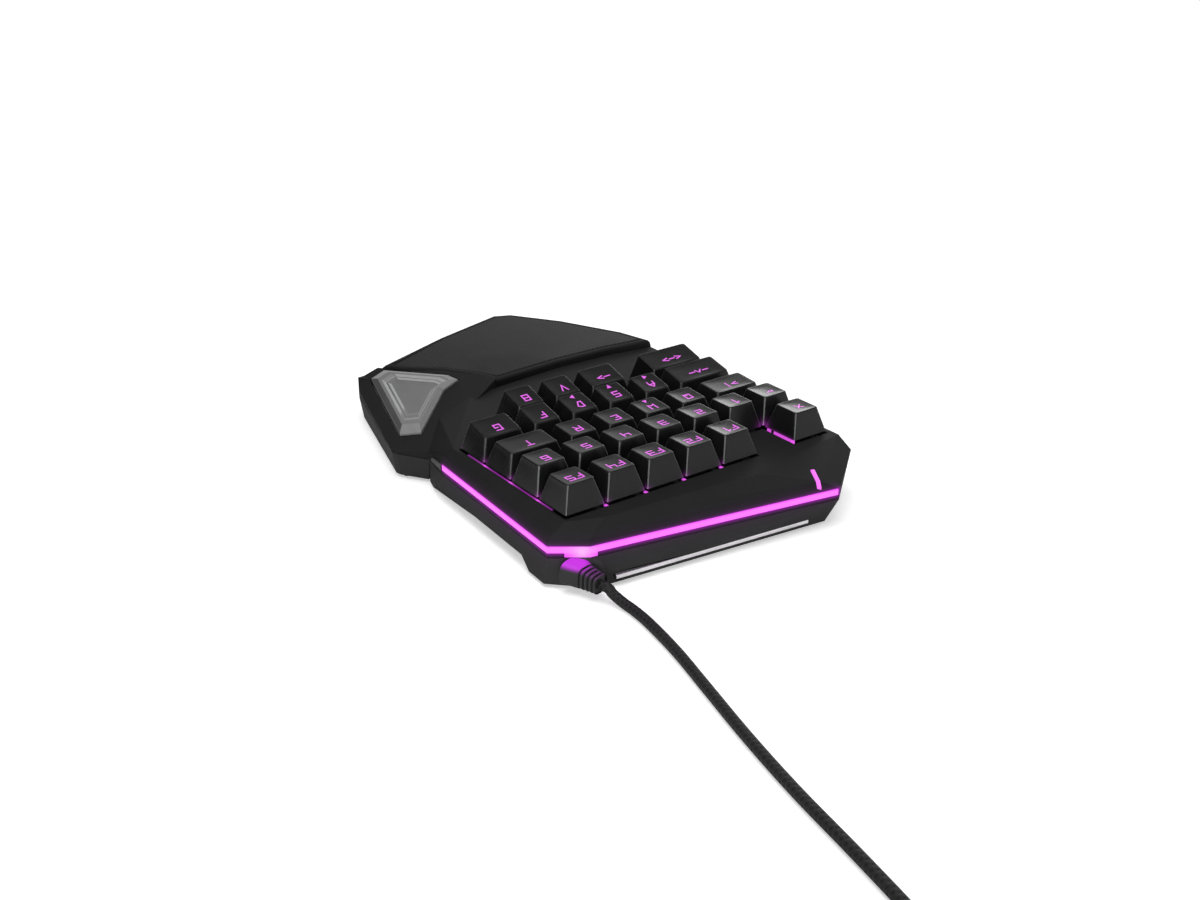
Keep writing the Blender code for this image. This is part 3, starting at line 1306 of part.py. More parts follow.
def build_plug(parent, body_material, metal_material, tongue_material):
    """Model the plug: moulded body, steel shell with two holes, and the tongue inside."""
    frame = plug_frame()
    neck_end = FIT + PLUG_NECK_LENGTH
    face = neck_end + PLUG_LENGTH
    small = PLUG_CHAMFER / 2
    rings = [
        plug_ring(PLUG_NECK_WIDTH, PLUG_NECK_WIDTH, PLUG_CHAMFER, FIT),
        plug_ring(PLUG_NECK_WIDTH, PLUG_NECK_WIDTH, PLUG_CHAMFER, neck_end),
        plug_ring(PLUG_WIDTH - PLUG_CHAMFER, PLUG_HEIGHT - small, small, neck_end + PLUG_CHAMFER),
        plug_ring(PLUG_WIDTH, PLUG_HEIGHT, PLUG_CHAMFER, neck_end + 2 * PLUG_CHAMFER),
        plug_ring(PLUG_WIDTH, PLUG_HEIGHT, PLUG_CHAMFER, face - small),
        plug_ring(PLUG_WIDTH - small, PLUG_HEIGHT - small, small, face),
    ]
    body = add_object("plug_body", stacked_mesh("plug_body", rings), parent, body_material)
    body.matrix_local = frame

    start, end = face + FIT, face + FIT + PLUG_SHELL_LENGTH
    wall = PLUG_SHELL_WALL
    inner_width, inner_height = PLUG_SHELL_WIDTH - 2 * wall, PLUG_SHELL_HEIGHT - 2 * wall
    rings = [
        plug_ring(inner_width, inner_height, wall / 2, start + wall),
        plug_ring(inner_width, inner_height, wall / 2, end),
        plug_ring(PLUG_SHELL_WIDTH, PLUG_SHELL_HEIGHT, wall, end),
        plug_ring(PLUG_SHELL_WIDTH, PLUG_SHELL_HEIGHT, wall, start),
    ]
    shell = add_object("plug_shell", stacked_mesh("plug_shell", rings), parent, metal_material)
    shell.matrix_local = frame
    holes = []
    for share_x, share_y in PLUG_HOLE_SHARES:
        place = Vector((start + share_x * PLUG_SHELL_LENGTH, share_y * PLUG_SHELL_WIDTH))
        square = square_outline(place, PLUG_HOLE / 2)
        holes.append(prism_mesh("plug_hole", square, inner_height / 4, PLUG_SHELL_HEIGHT))
    tool = combine(shell, joined_mesh("plug_holes", holes), "DIFFERENCE", parent)
    tool.matrix_local = frame

    half = inner_width * PLUG_TONGUE_SHARE / 2
    low = FIT - inner_height / 2
    tongue_start = start + wall + FIT
    tongue_end = start + PLUG_SHELL_LENGTH * PLUG_TONGUE_SHARE
    outline = [(tongue_start, -half), (tongue_end, -half), (tongue_end, half), (tongue_start, half)]
    tongue_mesh = prism_mesh("plug_tongue", outline, low, low + PLUG_TONGUE_HEIGHT)
    tongue = add_object("plug_tongue", tongue_mesh, parent, tongue_material)
    tongue.matrix_local = frame


def build_cable(parent, materials):
    """Model the strain relief, the lead on the desk, the coil and the plug."""
    add_object("strain_relief", boot_mesh(), parent, materials["relief"])
    lead, coil = lead_points(), coil_points()
    cord_object("cord_lead", lead, LEAD_SIDES, parent, materials["cord"])
    cord_object("cord_coil", coil, COIL_SIDES, parent, materials["cord"])
    build_plug(parent, materials["plug"], materials["plug_shell"], materials["tongue"])
    print(f"cord: lead {line_length(lead):.3f} m, coil {line_length(coil):.3f} m")
    print(f"least gap in the coil {self_gap(coil) * 1000:.2f} mm")


def build_feature_pieces(parent, materials):
    """Model the light strip, the indicator and the back trim."""
    strip = add_object("light_strip", strip_mesh("light_strip", 0.0), parent, materials["light"])
    combine(strip, strip_tab_mesh("strip_tab", 0.0), "UNION", parent)
    add_object("indicator_lens", indicator_mesh("indicator_lens", 0.0), parent, materials["indicator"])
    add_object("back_trim", trim_mesh("back_trim", 0.0), parent, materials["chrome"])


def standing_place():
    """Return the plan point under the middle of the keypad's box."""
    base_edge = main_corners()[0][0] + Vector(UNDERCUT_SHARES[0]) * UNDERCUT
    wing_edge = wing_place(WING_EDGE_SHARES[2])
    left, right = -LEFT_RUN, max(base_edge.x, wing_edge.x)
    front = min(palm_place(share).y for share in PALM_SHARES)
    return Vector(((left + right) / 2, (front + BACK_RUN + BACK_SKEW) / 2))


def build():
    """Build the keypad."""
    empty_scene()
    origin = bpy.data.objects.new("keypad_origin", None)
    bpy.context.scene.collection.objects.link(origin)
    middle = standing_place()
    origin.location = (-middle.x, -middle.y, 0.0)
    materials = {
        "shell": finish("housing_black", (0.028, 0.028, 0.029), 0.55),
        "tray": finish("tray_black", (0.022, 0.022, 0.023), 0.60),
        "cap": finish("cap_black", (0.020, 0.020, 0.021), 0.38),
        "rest": finish("wrist_rest_grey", (0.045, 0.045, 0.046), 0.62),
        "pad": finish("wrist_pad_grey", (0.040, 0.040, 0.041), 0.80),
        "thumb": finish("thumb_key_smoke", (0.34, 0.34, 0.35), 0.30, transmission=0.4),
        "light": finish("light_magenta", (0.95, 0.20, 0.95), 0.30, glow=1.5),
        "indicator": finish("indicator_magenta", (0.95, 0.20, 0.95), 0.30, glow=1.5),
        "chrome": finish("trim_chrome", (0.70, 0.70, 0.72), 0.15, metallic=1.0),
        "rubber": finish("foot_rubber", (0.015, 0.015, 0.015), 0.85),
        "relief": finish("strain_relief_rubber", (0.015, 0.015, 0.015), 0.80),
        "guide": finish("guide_plate_black", (0.030, 0.030, 0.031), 0.50),
        "dome": finish("dome_rubber", (0.55, 0.56, 0.58), 0.60),
        "circuit": finish("circuit_film", (0.60, 0.62, 0.60), 0.40),
        "steel": finish("back_plate_steel", (0.50, 0.51, 0.52), 0.35, metallic=1.0),
        "board": finish("controller_green", (0.03, 0.20, 0.08), 0.45),
        "cord": finish("cord_black", (0.018, 0.018, 0.019), 0.75),
        "plug": finish("plug_black", (0.020, 0.020, 0.021), 0.50),
        "plug_shell": finish("plug_steel", (0.50, 0.51, 0.52), 0.30, metallic=1.0),
        "tongue": finish("plug_tongue_black", (0.020, 0.020, 0.021), 0.45),
    }
    build_top_housing(origin, materials["shell"])
    build_bottom_housing(origin, materials["tray"])
    build_caps(origin, materials["cap"])
    build_thumb_key(origin, materials["thumb"])
    build_thumb_switch(origin, materials["dome"], materials["board"])
    build_wrist_rest(origin, materials["rest"], materials["pad"])
    build_guide_plate(origin, materials["guide"])
    build_dome_sheet(origin, materials["dome"])
    build_plates(origin, materials["circuit"], materials["steel"], materials["board"])
    build_feature_pieces(origin, materials)
    build_cable(origin, materials)
    build_feet(origin, materials["rubber"])


build()
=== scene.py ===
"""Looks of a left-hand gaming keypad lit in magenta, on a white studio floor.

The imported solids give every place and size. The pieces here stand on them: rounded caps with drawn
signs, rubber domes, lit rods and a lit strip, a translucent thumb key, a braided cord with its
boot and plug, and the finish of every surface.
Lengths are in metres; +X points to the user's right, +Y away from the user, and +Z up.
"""

import json
import logging
import math
from collections.abc import Callable
from dataclasses import dataclass, field
from enum import Enum

import bmesh
import bpy
import numpy as np
from mathutils import Matrix, Vector

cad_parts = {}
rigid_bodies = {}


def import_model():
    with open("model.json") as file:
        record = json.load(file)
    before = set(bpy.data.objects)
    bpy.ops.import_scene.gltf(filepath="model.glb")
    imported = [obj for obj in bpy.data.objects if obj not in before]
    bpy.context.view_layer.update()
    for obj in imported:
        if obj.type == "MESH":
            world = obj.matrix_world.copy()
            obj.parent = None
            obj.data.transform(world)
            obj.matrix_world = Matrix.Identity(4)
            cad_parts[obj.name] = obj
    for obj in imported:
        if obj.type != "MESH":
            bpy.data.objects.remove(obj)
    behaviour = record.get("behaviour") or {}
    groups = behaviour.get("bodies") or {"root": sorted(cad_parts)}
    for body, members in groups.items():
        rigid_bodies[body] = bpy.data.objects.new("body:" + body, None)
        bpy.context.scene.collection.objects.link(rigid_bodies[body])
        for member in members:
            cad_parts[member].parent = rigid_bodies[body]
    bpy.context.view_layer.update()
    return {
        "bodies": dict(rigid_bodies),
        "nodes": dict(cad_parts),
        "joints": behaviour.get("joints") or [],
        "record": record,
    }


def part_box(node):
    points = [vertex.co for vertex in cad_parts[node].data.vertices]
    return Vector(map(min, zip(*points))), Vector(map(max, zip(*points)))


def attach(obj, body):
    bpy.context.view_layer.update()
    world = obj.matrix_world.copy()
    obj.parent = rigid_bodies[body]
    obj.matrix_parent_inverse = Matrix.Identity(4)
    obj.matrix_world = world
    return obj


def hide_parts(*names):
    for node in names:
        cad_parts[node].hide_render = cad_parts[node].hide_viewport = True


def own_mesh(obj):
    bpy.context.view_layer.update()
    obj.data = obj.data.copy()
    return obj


Pair = tuple[float, float]
Triple = tuple[float, float, float]
Material = bpy.types.Material
Mesh = bpy.types.Mesh

LOG = logging.getLogger("keypad")
MILLIMETRE = 0.001
KEY_PITCH = 0.01905
KEY_TRAVEL = 0.0032
CORD_EXIT = (0.06325, 0.10669, 0.00612)
CORD_AXIS = (-0.25067, 0.96760, -0.03008)
BLACK = (0.0, 0.0, 0.0)
BASE = "base"

# Values of noise and of a rounded edge that count as none and as all; the rounded edge's values mark edges
# lightened as wear and as a painted highlight
CLOUD = (0.3, 0.7)
EDGE_WEAR_AND_HIGHLIGHT = (0.004, 0.11)


def scaled(colour: Triple, factor: float) -> Triple:
    """Return a colour with each channel multiplied by a factor."""
    return tuple(channel * factor for channel in colour)


class Socket:
    """A value in a node tree; arithmetic on it adds Math nodes."""

    def __init__(self, graph: "Graph", output: bpy.types.NodeSocket) -> None:
        """Keep the graph that the value belongs to and the node's output socket."""
        self.graph = graph
        self.output = output

    def math(self, operation: str, *others: "Socket | float") -> "Socket":
        """Return the result of a Math node on this value and the others."""
        return self.graph.add("ShaderNodeMath", {"operation": operation}, dict(enumerate((self, *others))))

    def __add__(self, other: "Socket | float") -> "Socket":
        """Return the sum."""
        return self.math("ADD", other)

    def __radd__(self, other: float) -> "Socket":
        """Return the sum."""
        return self.math("ADD", other)

    def __sub__(self, other: "Socket | float") -> "Socket":
        """Return the difference."""
        return self.math("SUBTRACT", other)

    def __rsub__(self, other: float) -> "Socket":
        """Return a number less this value."""
        return (self * -1.0) + other

    def __mul__(self, other: "Socket | float") -> "Socket":
        """Return the product."""
        return self.math("MULTIPLY", other)

    def __rmul__(self, other: float) -> "Socket":
        """Return the product."""
        return self.math("MULTIPLY", other)

    def __truediv__(self, other: "Socket | float") -> "Socket":
        """Return the quotient."""
        return self.math("DIVIDE", other)

    def __abs__(self) -> "Socket":
        """Return the size without its sign."""
        return self.math("ABSOLUTE")

    def squared(self) -> "Socket":
        """Return the square."""
        return self * self

    def fall(self, length: float) -> "Socket":
        """Return the exponential that falls from 1 by a factor of e over each length."""
        return (self * (-1.0 / length)).math("EXPONENT")

    def largest(self, *others: "Socket | float") -> "Socket":
        """Return the largest of this value and the others."""
        result = self
        for other in others:
            result = result.math("MAXIMUM", other)
        return result

    def repeated(self, start: float, step: float) -> "Socket":
        """Return the distance from the nearest of the marks that stand a step apart from a start."""
        return (self - start).math("PINGPONG", step / 2)

    def between(self, low: float, high: float) -> "Socket":
        """Return 0 up to low, 1 from high on and a straight line between them."""
        inputs = {"Value": self, "From Min": low, "From Max": high}
        return self.graph.add("ShaderNodeMapRange", {"clamp": True}, inputs)


class Graph:
    """A material or a world under construction, with one shader."""

    def __init__(self, name: str, world: bpy.types.World | None = None) -> None:
        """Start an empty material with its shader and output, or open a world's tree.

        Args:
            name: the material's name.
            world: the world to light instead, if any.
        """
        self.material = world or bpy.data.materials.new(name)
        self.material.use_nodes = True
        self.tree = self.material.node_tree
        self.shader = self.tree.nodes["Background" if world else "Principled BSDF"]

    def add(
        self, kind: str, settings: dict | None = None, inputs: dict | None = None, output: int | str = 0,
    ) -> Socket:
        """Add one node.

        Args:
            kind: the node's type.
            settings: attributes set first.
            inputs: numbers, colours or sockets by the input's name or index.
            output: the output wanted.

        Returns:
            The output's socket.
        """
        node = self.tree.nodes.new(kind)
        for name, value in (settings or {}).items():
            setattr(node, name, value)
        for name, value in (inputs or {}).items():
            if isinstance(value, Socket):
                self.tree.links.new(value.output, node.inputs[name])
            else:
                node.inputs[name].default_value = value
        return Socket(self, node.outputs[output])

    def place(self) -> Socket:
        """Return the Object coordinates, in metres."""
        return self.add("ShaderNodeTexCoord", output="Object")

    def axis(self, axis: str, vector: Socket | None = None) -> Socket:
        """Return X, Y or Z of a vector, or of the Object coordinates where none is given."""
        return self.add("ShaderNodeSeparateXYZ", inputs={0: vector or self.place()}, output=axis)

    def noise(self, size: float, detail: float = 2.0) -> Socket:
        """Return noise from 0 to 1 with grains of a size in metres and a number of finer octaves."""
        inputs = {"Vector": self.place(), "Scale": 1.0 / size, "Detail": detail}
        return self.add("ShaderNodeTexNoise", inputs=inputs, output="Fac")

    def mix(self, share: "Socket | float", first: "Socket | tuple", second: "Socket | tuple") -> Socket:
        """Mix two colours.

        Args:
            share: how much of the second colour shows.
            first: the first colour.
            second: the second colour.

        Returns:
            The mixed colour.
        """
        values = {0: share, 6: first, 7: second}
        filled = {key: (*value, 1.0) if isinstance(value, tuple) else value for key, value in values.items()}
        return self.add("ShaderNodeMix", {"data_type": "RGBA"}, filled, output=2)

    def rounded(self, radius: float) -> Socket:
        """Return the normal of edges rounded to a radius."""
        return self.add("ShaderNodeBevel", {"samples": 4}, {"Radius": radius})

    def dot(self, direction: "tuple | Socket", vector: Socket | None = None) -> Socket:
        """Return the dot product of a direction and a vector, or the place where none is given."""
        inputs = {0: vector or self.place(), 1: direction}
        return self.add("ShaderNodeVectorMath", {"operation": "DOT_PRODUCT"}, inputs, output="Value")

    def away(self, point: Triple) -> Socket:
        """Return the distance from a point."""
        inputs = {0: self.place(), 1: point}
        return self.add("ShaderNodeVectorMath", {"operation": "DISTANCE"}, inputs, output="Value")

    def face(self) -> Socket:
        """Return the face's own normal."""
        return self.add("ShaderNodeNewGeometry", output="True Normal")

    def wear_and_highlight(self, rounded: Socket) -> Socket:
        """Return how far a rounded edge's normal leaves the face's: one less their cosine, scaled up. It
        marks edges lightened as wear and as a painted highlight.
        """
        return (1.0 - self.dot(self.face(), rounded)).between(*EDGE_WEAR_AND_HIGHLIGHT)

    def bump(self, height: Socket, depth: float, normal: Socket | None = None) -> Socket:
        """Return a bumped normal.

        Args:
            height: the relief from 0 to 1.
            depth: the relief's real depth, in metres.
            normal: the normal under it.

        Returns:
            The normal's socket.
        """
        inputs = {"Height": height, "Distance": depth, "Strength": 1.0}
        if normal is not None:
            inputs["Normal"] = normal
        return self.add("ShaderNodeBump", inputs=inputs)

    def grain(self, size: float, depth: float, normal: Socket | None = None) -> Socket:
        """Return the normal of a fine grain, its size and depth in metres, over another normal."""
        return self.bump(self.noise(size), depth, normal)

    def dress(self, **inputs: "Socket | float | tuple") -> Material:
        """Set the shader's sockets; an emission colour shines at strength 1 where none is given.

        Args:
            inputs: values or sockets, by the socket's name with _ for a space.

        Returns:
            The finished material.
        """
        if "Emission_Color" in inputs:
            inputs.setdefault("Emission_Strength", 1.0)
        for name, value in inputs.items():
            socket = self.shader.inputs[name.replace("_", " ")]
            if isinstance(value, Socket):
                self.tree.links.new(value.output, socket)
            elif isinstance(value, tuple) and len(value) == 3:
                socket.default_value = (*value, 1.0)
            else:
                socket.default_value = value
        return self.material


@dataclass(frozen=True)
class StripLine:
    """The light strip's line round the housing, and how its light spills over the edges beside it."""

    corners: tuple[Pair, ...] = ((0.0688, 0.0031), (0.0735, 0.0876), (0.0607, 0.0969), (-0.0477, 0.1158))
    middle: float = 0.0150
    half_height: float = 0.0015
    reach: float = 0.0045
    colour: Triple = (0.42, 0.01, 0.50)
    steep: Pair = (0.50, 0.40 * MILLIMETRE)
    soft: Pair = (0.07, 1.6 * MILLIMETRE)

    def outside(self, graph: Graph) -> Socket:
        """Return the signed distance outside the strip's walls, which form a convex corner.

        Args:
            graph: the material that reads it.

        Returns:
            The largest distance of a point beyond the planes through the strip's runs.
        """
        result = None
        for start, end in zip(self.corners, self.corners[1:]):
            way = Vector((end[0] - start[0], end[1] - start[1])).normalized()
            normal = (way.y, -way.x, 0.0)
            offset = normal[0] * start[0] + normal[1] * start[1]
            distance = graph.dot(normal) - offset
            result = distance if result is None else result.largest(distance)
        return result

    def spill(self, graph: Graph) -> Socket:
        """Return how strongly the strip lights a point beside it, from 0 to 1.

        Args:
            graph: the material that reads it.

        Returns:
            A steep and a soft exponential of the distance from the strip's edges.
        """
        away = (abs(graph.axis("Z") - self.middle) - self.half_height).largest(0.0)
        steep, soft = (away.fall(length) * share for share, length in (self.steep, self.soft))
        near = self.outside(graph).between(-self.reach, -0.3 * MILLIMETRE)
        start, end = self.corners[0][1], self.corners[-1][0]
        run = graph.axis("Y").between(start - 0.001, start + 0.003)
        return (steep + soft) * near * run * graph.axis("X").between(end - 0.002, end)


@dataclass(frozen=True)
class MouldedPlastic:
    """Black moulded plastic: spark-eroded grain, faint clouding, and edges lightened as wear and as a
    painted highlight.
    """

    name: str
    colour: Triple
    roughness: float
    grain_depth: float = 0.010 * MILLIMETRE
    grain_size: float = 0.35 * MILLIMETRE
    edge_radius: float = 0.35 * MILLIMETRE
    edge_wear_and_highlight: float = 2.2
    clouding: Pair = (0.35, 0.65)
    shine: float = 0.15
    glow: StripLine | None = None

    def material(self) -> Material:
        """Build the finish.

        Returns:
            The material.
        """
        graph = Graph(self.name)
        rounded = graph.rounded(self.edge_radius)
        edge = graph.wear_and_highlight(rounded)
        cloud = graph.noise(0.018, 3.0)
        colour = graph.mix(cloud.between(*self.clouding), scaled(self.colour, 0.86), self.colour)
        inputs = {
            # Edges lightened as wear and as a painted highlight along edges and creases.
            "Base_Color": graph.mix(edge * 0.6, colour, scaled(self.colour, self.edge_wear_and_highlight)),
            "Roughness": self.roughness + (cloud - 0.5) * 0.10 - edge * 0.08,
            "Normal": graph.grain(self.grain_size, self.grain_depth, rounded),
            "Specular_IOR_Level": self.shine,
        }
        if self.glow is not None:
            inputs["Emission_Color"] = graph.mix(self.glow.spill(graph), BLACK, self.glow.colour)
        return graph.dress(**inputs)


@dataclass(frozen=True)
class CoatedCap:
    """Smooth satin coating of the caps, with faint finger polish on top and a painted highlight down the
    corners between their sides.

    Light from the well leaks through the gaps between caps: at the right edge of the field once a
    row, at the function row's back edge between two caps, and beside the escape cap.
    """

    name: str = "cap_coating"
    colour: Triple = (0.0065, 0.0065, 0.0068)
    corner_highlight: Triple = (0.16, 0.17, 0.16)
    corner_highlight_range: Pair = (0.36, 0.44)
    leaking: Triple = (0.74, 0.07, 0.82)
    right: float = 0.0634
    back: float = 0.0854
    left: float = -0.069625
    skirt: float = 0.0249
    reach: float = 0.65 * MILLIMETRE
    first_gap: Pair = (-0.0140, -0.0130)
    last_gap: Pair = (0.056, 0.058)
    first_row: Pair = (0.0, 0.004)
    last_row: Pair = (0.078, 0.082)
    escape_side: Pair = (0.0660, 0.0850)
    escape_gap: Triple = (-0.0508, 0.0667, 0.0249)

    def leak(self, graph: Graph) -> Socket:
        """Return how strongly the well's light reaches a point, from 0 to 1.

        It falls as an exponential of the distance from the foot of the nearest gap.

        Args:
            graph: the material that reads it.

        Returns:
            The share of light.
        """
        x, y, z = (graph.axis(axis) for axis in "XYZ")
        low = (z - self.skirt).squared()
        rows = (x - self.right).squared() + y.repeated(self.back, KEY_PITCH).squared() + low
        columns = (y - self.back).squared() + x.repeated(self.left, KEY_PITCH).squared() + low
        rows = rows.math("SQRT").fall(self.reach) * y.between(*self.first_row)
        rows = rows * (1.0 - y.between(*self.last_row))
        columns = columns.math("SQRT").fall(self.reach) * x.between(*self.first_gap)
        columns = columns * (1.0 - x.between(*self.last_gap))
        corner = graph.away(self.escape_gap).fall(self.reach * 1.5)
        side = ((x - self.escape_gap[0]).squared() + low).math("SQRT").fall(self.reach * 0.5)
        front, back = self.escape_side
        side = side * y.between(front, front + MILLIMETRE) * (1.0 - y.between(back - MILLIMETRE, back))
        return rows.largest(columns, corner, side * 0.4)

    def material(self) -> Material:
        """Build the finish.

        Returns:
            The material.
        """
        graph = Graph(self.name)
        cloud = graph.noise(0.006, 3.0)
        colour = graph.mix(cloud.between(*CLOUD), self.colour, scaled(self.colour, 1.25))
        face = graph.face()
        # Painted highlight: the corners between a cap's sides are painted a light grey.
        across = abs(graph.dot((1.0, 0.0, 0.0), face) * graph.dot((0.0, 1.0, 0.0), face))
        return graph.dress(
            Base_Color=graph.mix(across.between(*self.corner_highlight_range), colour, self.corner_highlight),
            Roughness=0.25 + (cloud - 0.5) * 0.03,
            Normal=graph.grain(0.16 * MILLIMETRE, 0.0008 * MILLIMETRE),
            Specular_IOR_Level=0.28,
            Emission_Color=graph.mix(self.leak(graph), BLACK, self.leaking),
        )


@dataclass(frozen=True)
class LitPlastic:
    """Milky plastic lit from inside, brightest along its middle height."""

    name: str
    strength: float
    middle: float
    half_height: float
    hot_spot: Triple | None = None
    core: Triple = (0.93, 0.155, 0.95)
    rim: Triple = (0.72, 0.045, 0.82)
    white_hot: Triple = (1.0, 0.62, 1.0)

    def material(self) -> Material:
        """Build the finish.

        Returns:
            The material.
        """
        graph = Graph(self.name)
        share = (abs(graph.axis("Z") - self.middle) / self.half_height).between(0.45, 1.15)
        colour = graph.mix(share, self.core, self.rim)
        if self.hot_spot is not None:
            heat = graph.away(self.hot_spot).fall(2.2 * MILLIMETRE)
            colour = graph.mix(heat.between(0.0, 0.8), colour, self.white_hot)
        return graph.dress(
            Base_Color=(0.30, 0.05, 0.32),
            Roughness=0.35,
            Normal=graph.grain(0.8 * MILLIMETRE, 0.004 * MILLIMETRE),
            Emission_Color=colour,
            Emission_Strength=self.strength,
        )


@dataclass(frozen=True)
class SmokeKey:
    """Translucent grey plastic of the thumb key, with painted light and shade: the slopes lighter, each
    facing its own grey, the sunk floor darker and a painted highlight on the edges.
    """

    name: str = "thumb_key_smoke"
    upright: Triple = (0.25283, -0.02168, 0.96727)
    wing_level: float = 0.0317087
    floor_level: float = 0.0013
    top_level: float = 0.0020
    middle: Triple = (0.0465, -0.0630, 0.0)
    sunk: Triple = (0.175, 0.175, 0.177)
    raised: Triple = (0.200, 0.200, 0.202)
    slopes: Triple = (0.420, 0.420, 0.422)
    edge_highlight: Triple = (0.46, 0.46, 0.465)
    smoke: Triple = (0.10, 0.10, 0.10)
    facet_shading: tuple[tuple[Triple, Pair, float], ...] = (
        ((0.960, -0.277, 0.0), (0.42, 0.50), 0.085),
        ((-0.680, 0.735, 0.0), (0.02, 0.09), 0.190),
        ((0.743, 0.670, 0.0), (0.38, 0.46), 0.200),
    )

    def material(self) -> Material:
        """Build the finish.

        Returns:
            The material.
        """
        graph = Graph(self.name)
        rounded = graph.rounded(0.5 * MILLIMETRE)
        edge = graph.wear_and_highlight(rounded)
        cloud = graph.noise(0.004, 4.0)
        height = graph.dot(self.upright) - self.wing_level
        flat = graph.dot(self.upright, graph.face()).between(0.955, 0.985)
        level = height.between(self.floor_level, self.top_level)
        # Painted light and shade: the slopes lighter than the flats, the sunk floor darker than the raised
        # top.
        colour = graph.mix(flat, self.slopes, graph.mix(level, self.sunk, self.raised))
        # Painted light and shade: each facet turned one way gets its own grey.
        for way, tilt, grey in self.facet_shading:
            beyond = graph.dot(way) - Vector(way).dot(Vector(self.middle))
            share = graph.dot(way, graph.face()).between(*tilt) * beyond.between(0.001, 0.003)
            colour = graph.mix(share, colour, (grey, grey, grey))
        colour = graph.mix(cloud.between(*CLOUD) * 0.16, colour, self.smoke)
        # Painted highlight: a light line along the rounded edges.
        colour = graph.mix(edge * 0.7, colour, self.edge_highlight)
        return graph.dress(
            Base_Color=colour,
            Roughness=0.36,
            Normal=graph.grain(0.5 * MILLIMETRE, 0.003 * MILLIMETRE, rounded),
            Transmission_Weight=0.06,
        )


@dataclass(frozen=True)
class RestSkin:
    """Soft skin of the wrist pad with fine slanting lines."""

    name: str = "wrist_pad_skin"
    line_pitch: float = 1.5 * MILLIMETRE
    slant: float = math.radians(123.6)
    cross_slant: float = math.radians(166.7)
    low: Triple = (0.022, 0.022, 0.0225)
    high: Triple = (0.041, 0.041, 0.0415)

    def material(self) -> Material:
        """Build the finish: sines of the distance across two sets of lines give their relief.

        Returns:
            The material.
        """
        graph = Graph(self.name)
        turn = 2.0 * math.pi / self.line_pitch
        ways = ((math.cos(slant), math.sin(slant), 0.0) for slant in (self.slant, self.cross_slant))
        first, second = ((graph.dot(way) * turn).math("SINE") * 0.5 + 0.5 for way in ways)
        cloud = graph.noise(0.030, 3.0)
        wave = (first * 0.7 + second * 0.3) * (cloud.between(0.38, 0.62) * 0.7 + 0.3)
        return graph.dress(
            Base_Color=graph.mix(wave, self.low, self.high),
            Roughness=0.68 + (cloud - 0.5) * 0.12,
            Normal=graph.bump(wave + graph.noise(0.3 * MILLIMETRE) * 0.25, 0.09 * MILLIMETRE),
            Specular_IOR_Level=0.15,
        )


@dataclass(frozen=True)
class BraidedSleeve:
    """Braided sleeve of the cord: two sets of threads cross over its surface."""

    name: str = "cord_braid"
    thread_turns: float = 8.0
    thread_pitch: float = 2.4 * MILLIMETRE
    valley: Triple = (0.003, 0.003, 0.003)
    crest: Triple = (0.015, 0.015, 0.0155)

    def material(self) -> Material:
        """Build the finish from the UV map, whose U is metres along and V turns round the cord.

        Returns:
            The material.
        """
        graph = Graph(self.name)
        uv = graph.add("ShaderNodeUVMap", {"uv_map": "sleeve"})
        along, around = (graph.axis(axis, uv) for axis in "XY")
        along = along * (2.0 * math.pi / self.thread_pitch)
        around = around * (2.0 * math.pi * self.thread_turns / 2)
        weave = (along + around).math("SINE").largest((along - around).math("SINE")) * 0.5 + 0.5
        return graph.dress(
            Base_Color=graph.mix(weave, self.valley, self.crest),
            Roughness=0.55,
            Normal=graph.bump(weave, 0.22 * MILLIMETRE),
            Specular_IOR_Level=0.25,
        )


@dataclass(frozen=True)
class PlainFinish:
    """A plain surface with faint clouding and a fine grain: rubber, metal, film or board."""

    name: str
    colour: Triple
    roughness: float
    metallic: float = 0.0
    grain_size: float = 0.4 * MILLIMETRE
    grain_depth: float = 0.006 * MILLIMETRE

    def material(self) -> Material:
        """Build the finish.

        Returns:
            The material.
        """
        graph = Graph(self.name)
        cloud = graph.noise(0.007, 3.0)
        return graph.dress(
            Base_Color=graph.mix(cloud.between(*CLOUD), scaled(self.colour, 0.80), self.colour),
            Roughness=self.roughness + (cloud - 0.5) * 0.12,
            Metallic=self.metallic,
            Normal=graph.grain(self.grain_size, self.grain_depth),
        )


@dataclass(frozen=True)
class BootRubber:
    """Black rubber of the boot, whose top side catches the light of the strip above it."""

    name: str = "boot_rubber"
    dark: Triple = (0.022, 0.022, 0.022)
    light: Triple = (0.030, 0.030, 0.030)
    lit: Triple = (0.56, 0.005, 0.74)
    hot_spot: Triple = (0.0668, 0.0950, 0.0125)
    core: Pair = (0.0045, 0.0075)
    halo: Pair = (0.006, 0.0155)

    def material(self) -> Material:
        """Build the finish.

        Returns:
            The material.
        """
        graph = Graph(self.name)
        up = graph.dot((0.0, 0.0, 1.0), graph.face()).between(0.35, 0.85)
        away = graph.away(self.hot_spot)
        bright = (1.0 - away.between(*self.core)) * 0.75 + (1.0 - away.between(*self.halo)) * 0.25
        cloud = graph.noise(0.003, 3.0)
        return graph.dress(
            Base_Color=graph.mix(cloud, self.dark, self.light),
            Roughness=0.52 + (cloud - 0.5) * 0.12,
            Normal=graph.grain(0.3 * MILLIMETRE, 0.008 * MILLIMETRE),
            Specular_IOR_Level=0.25,
            Emission_Color=graph.mix(bright * up, BLACK, self.lit),
        )


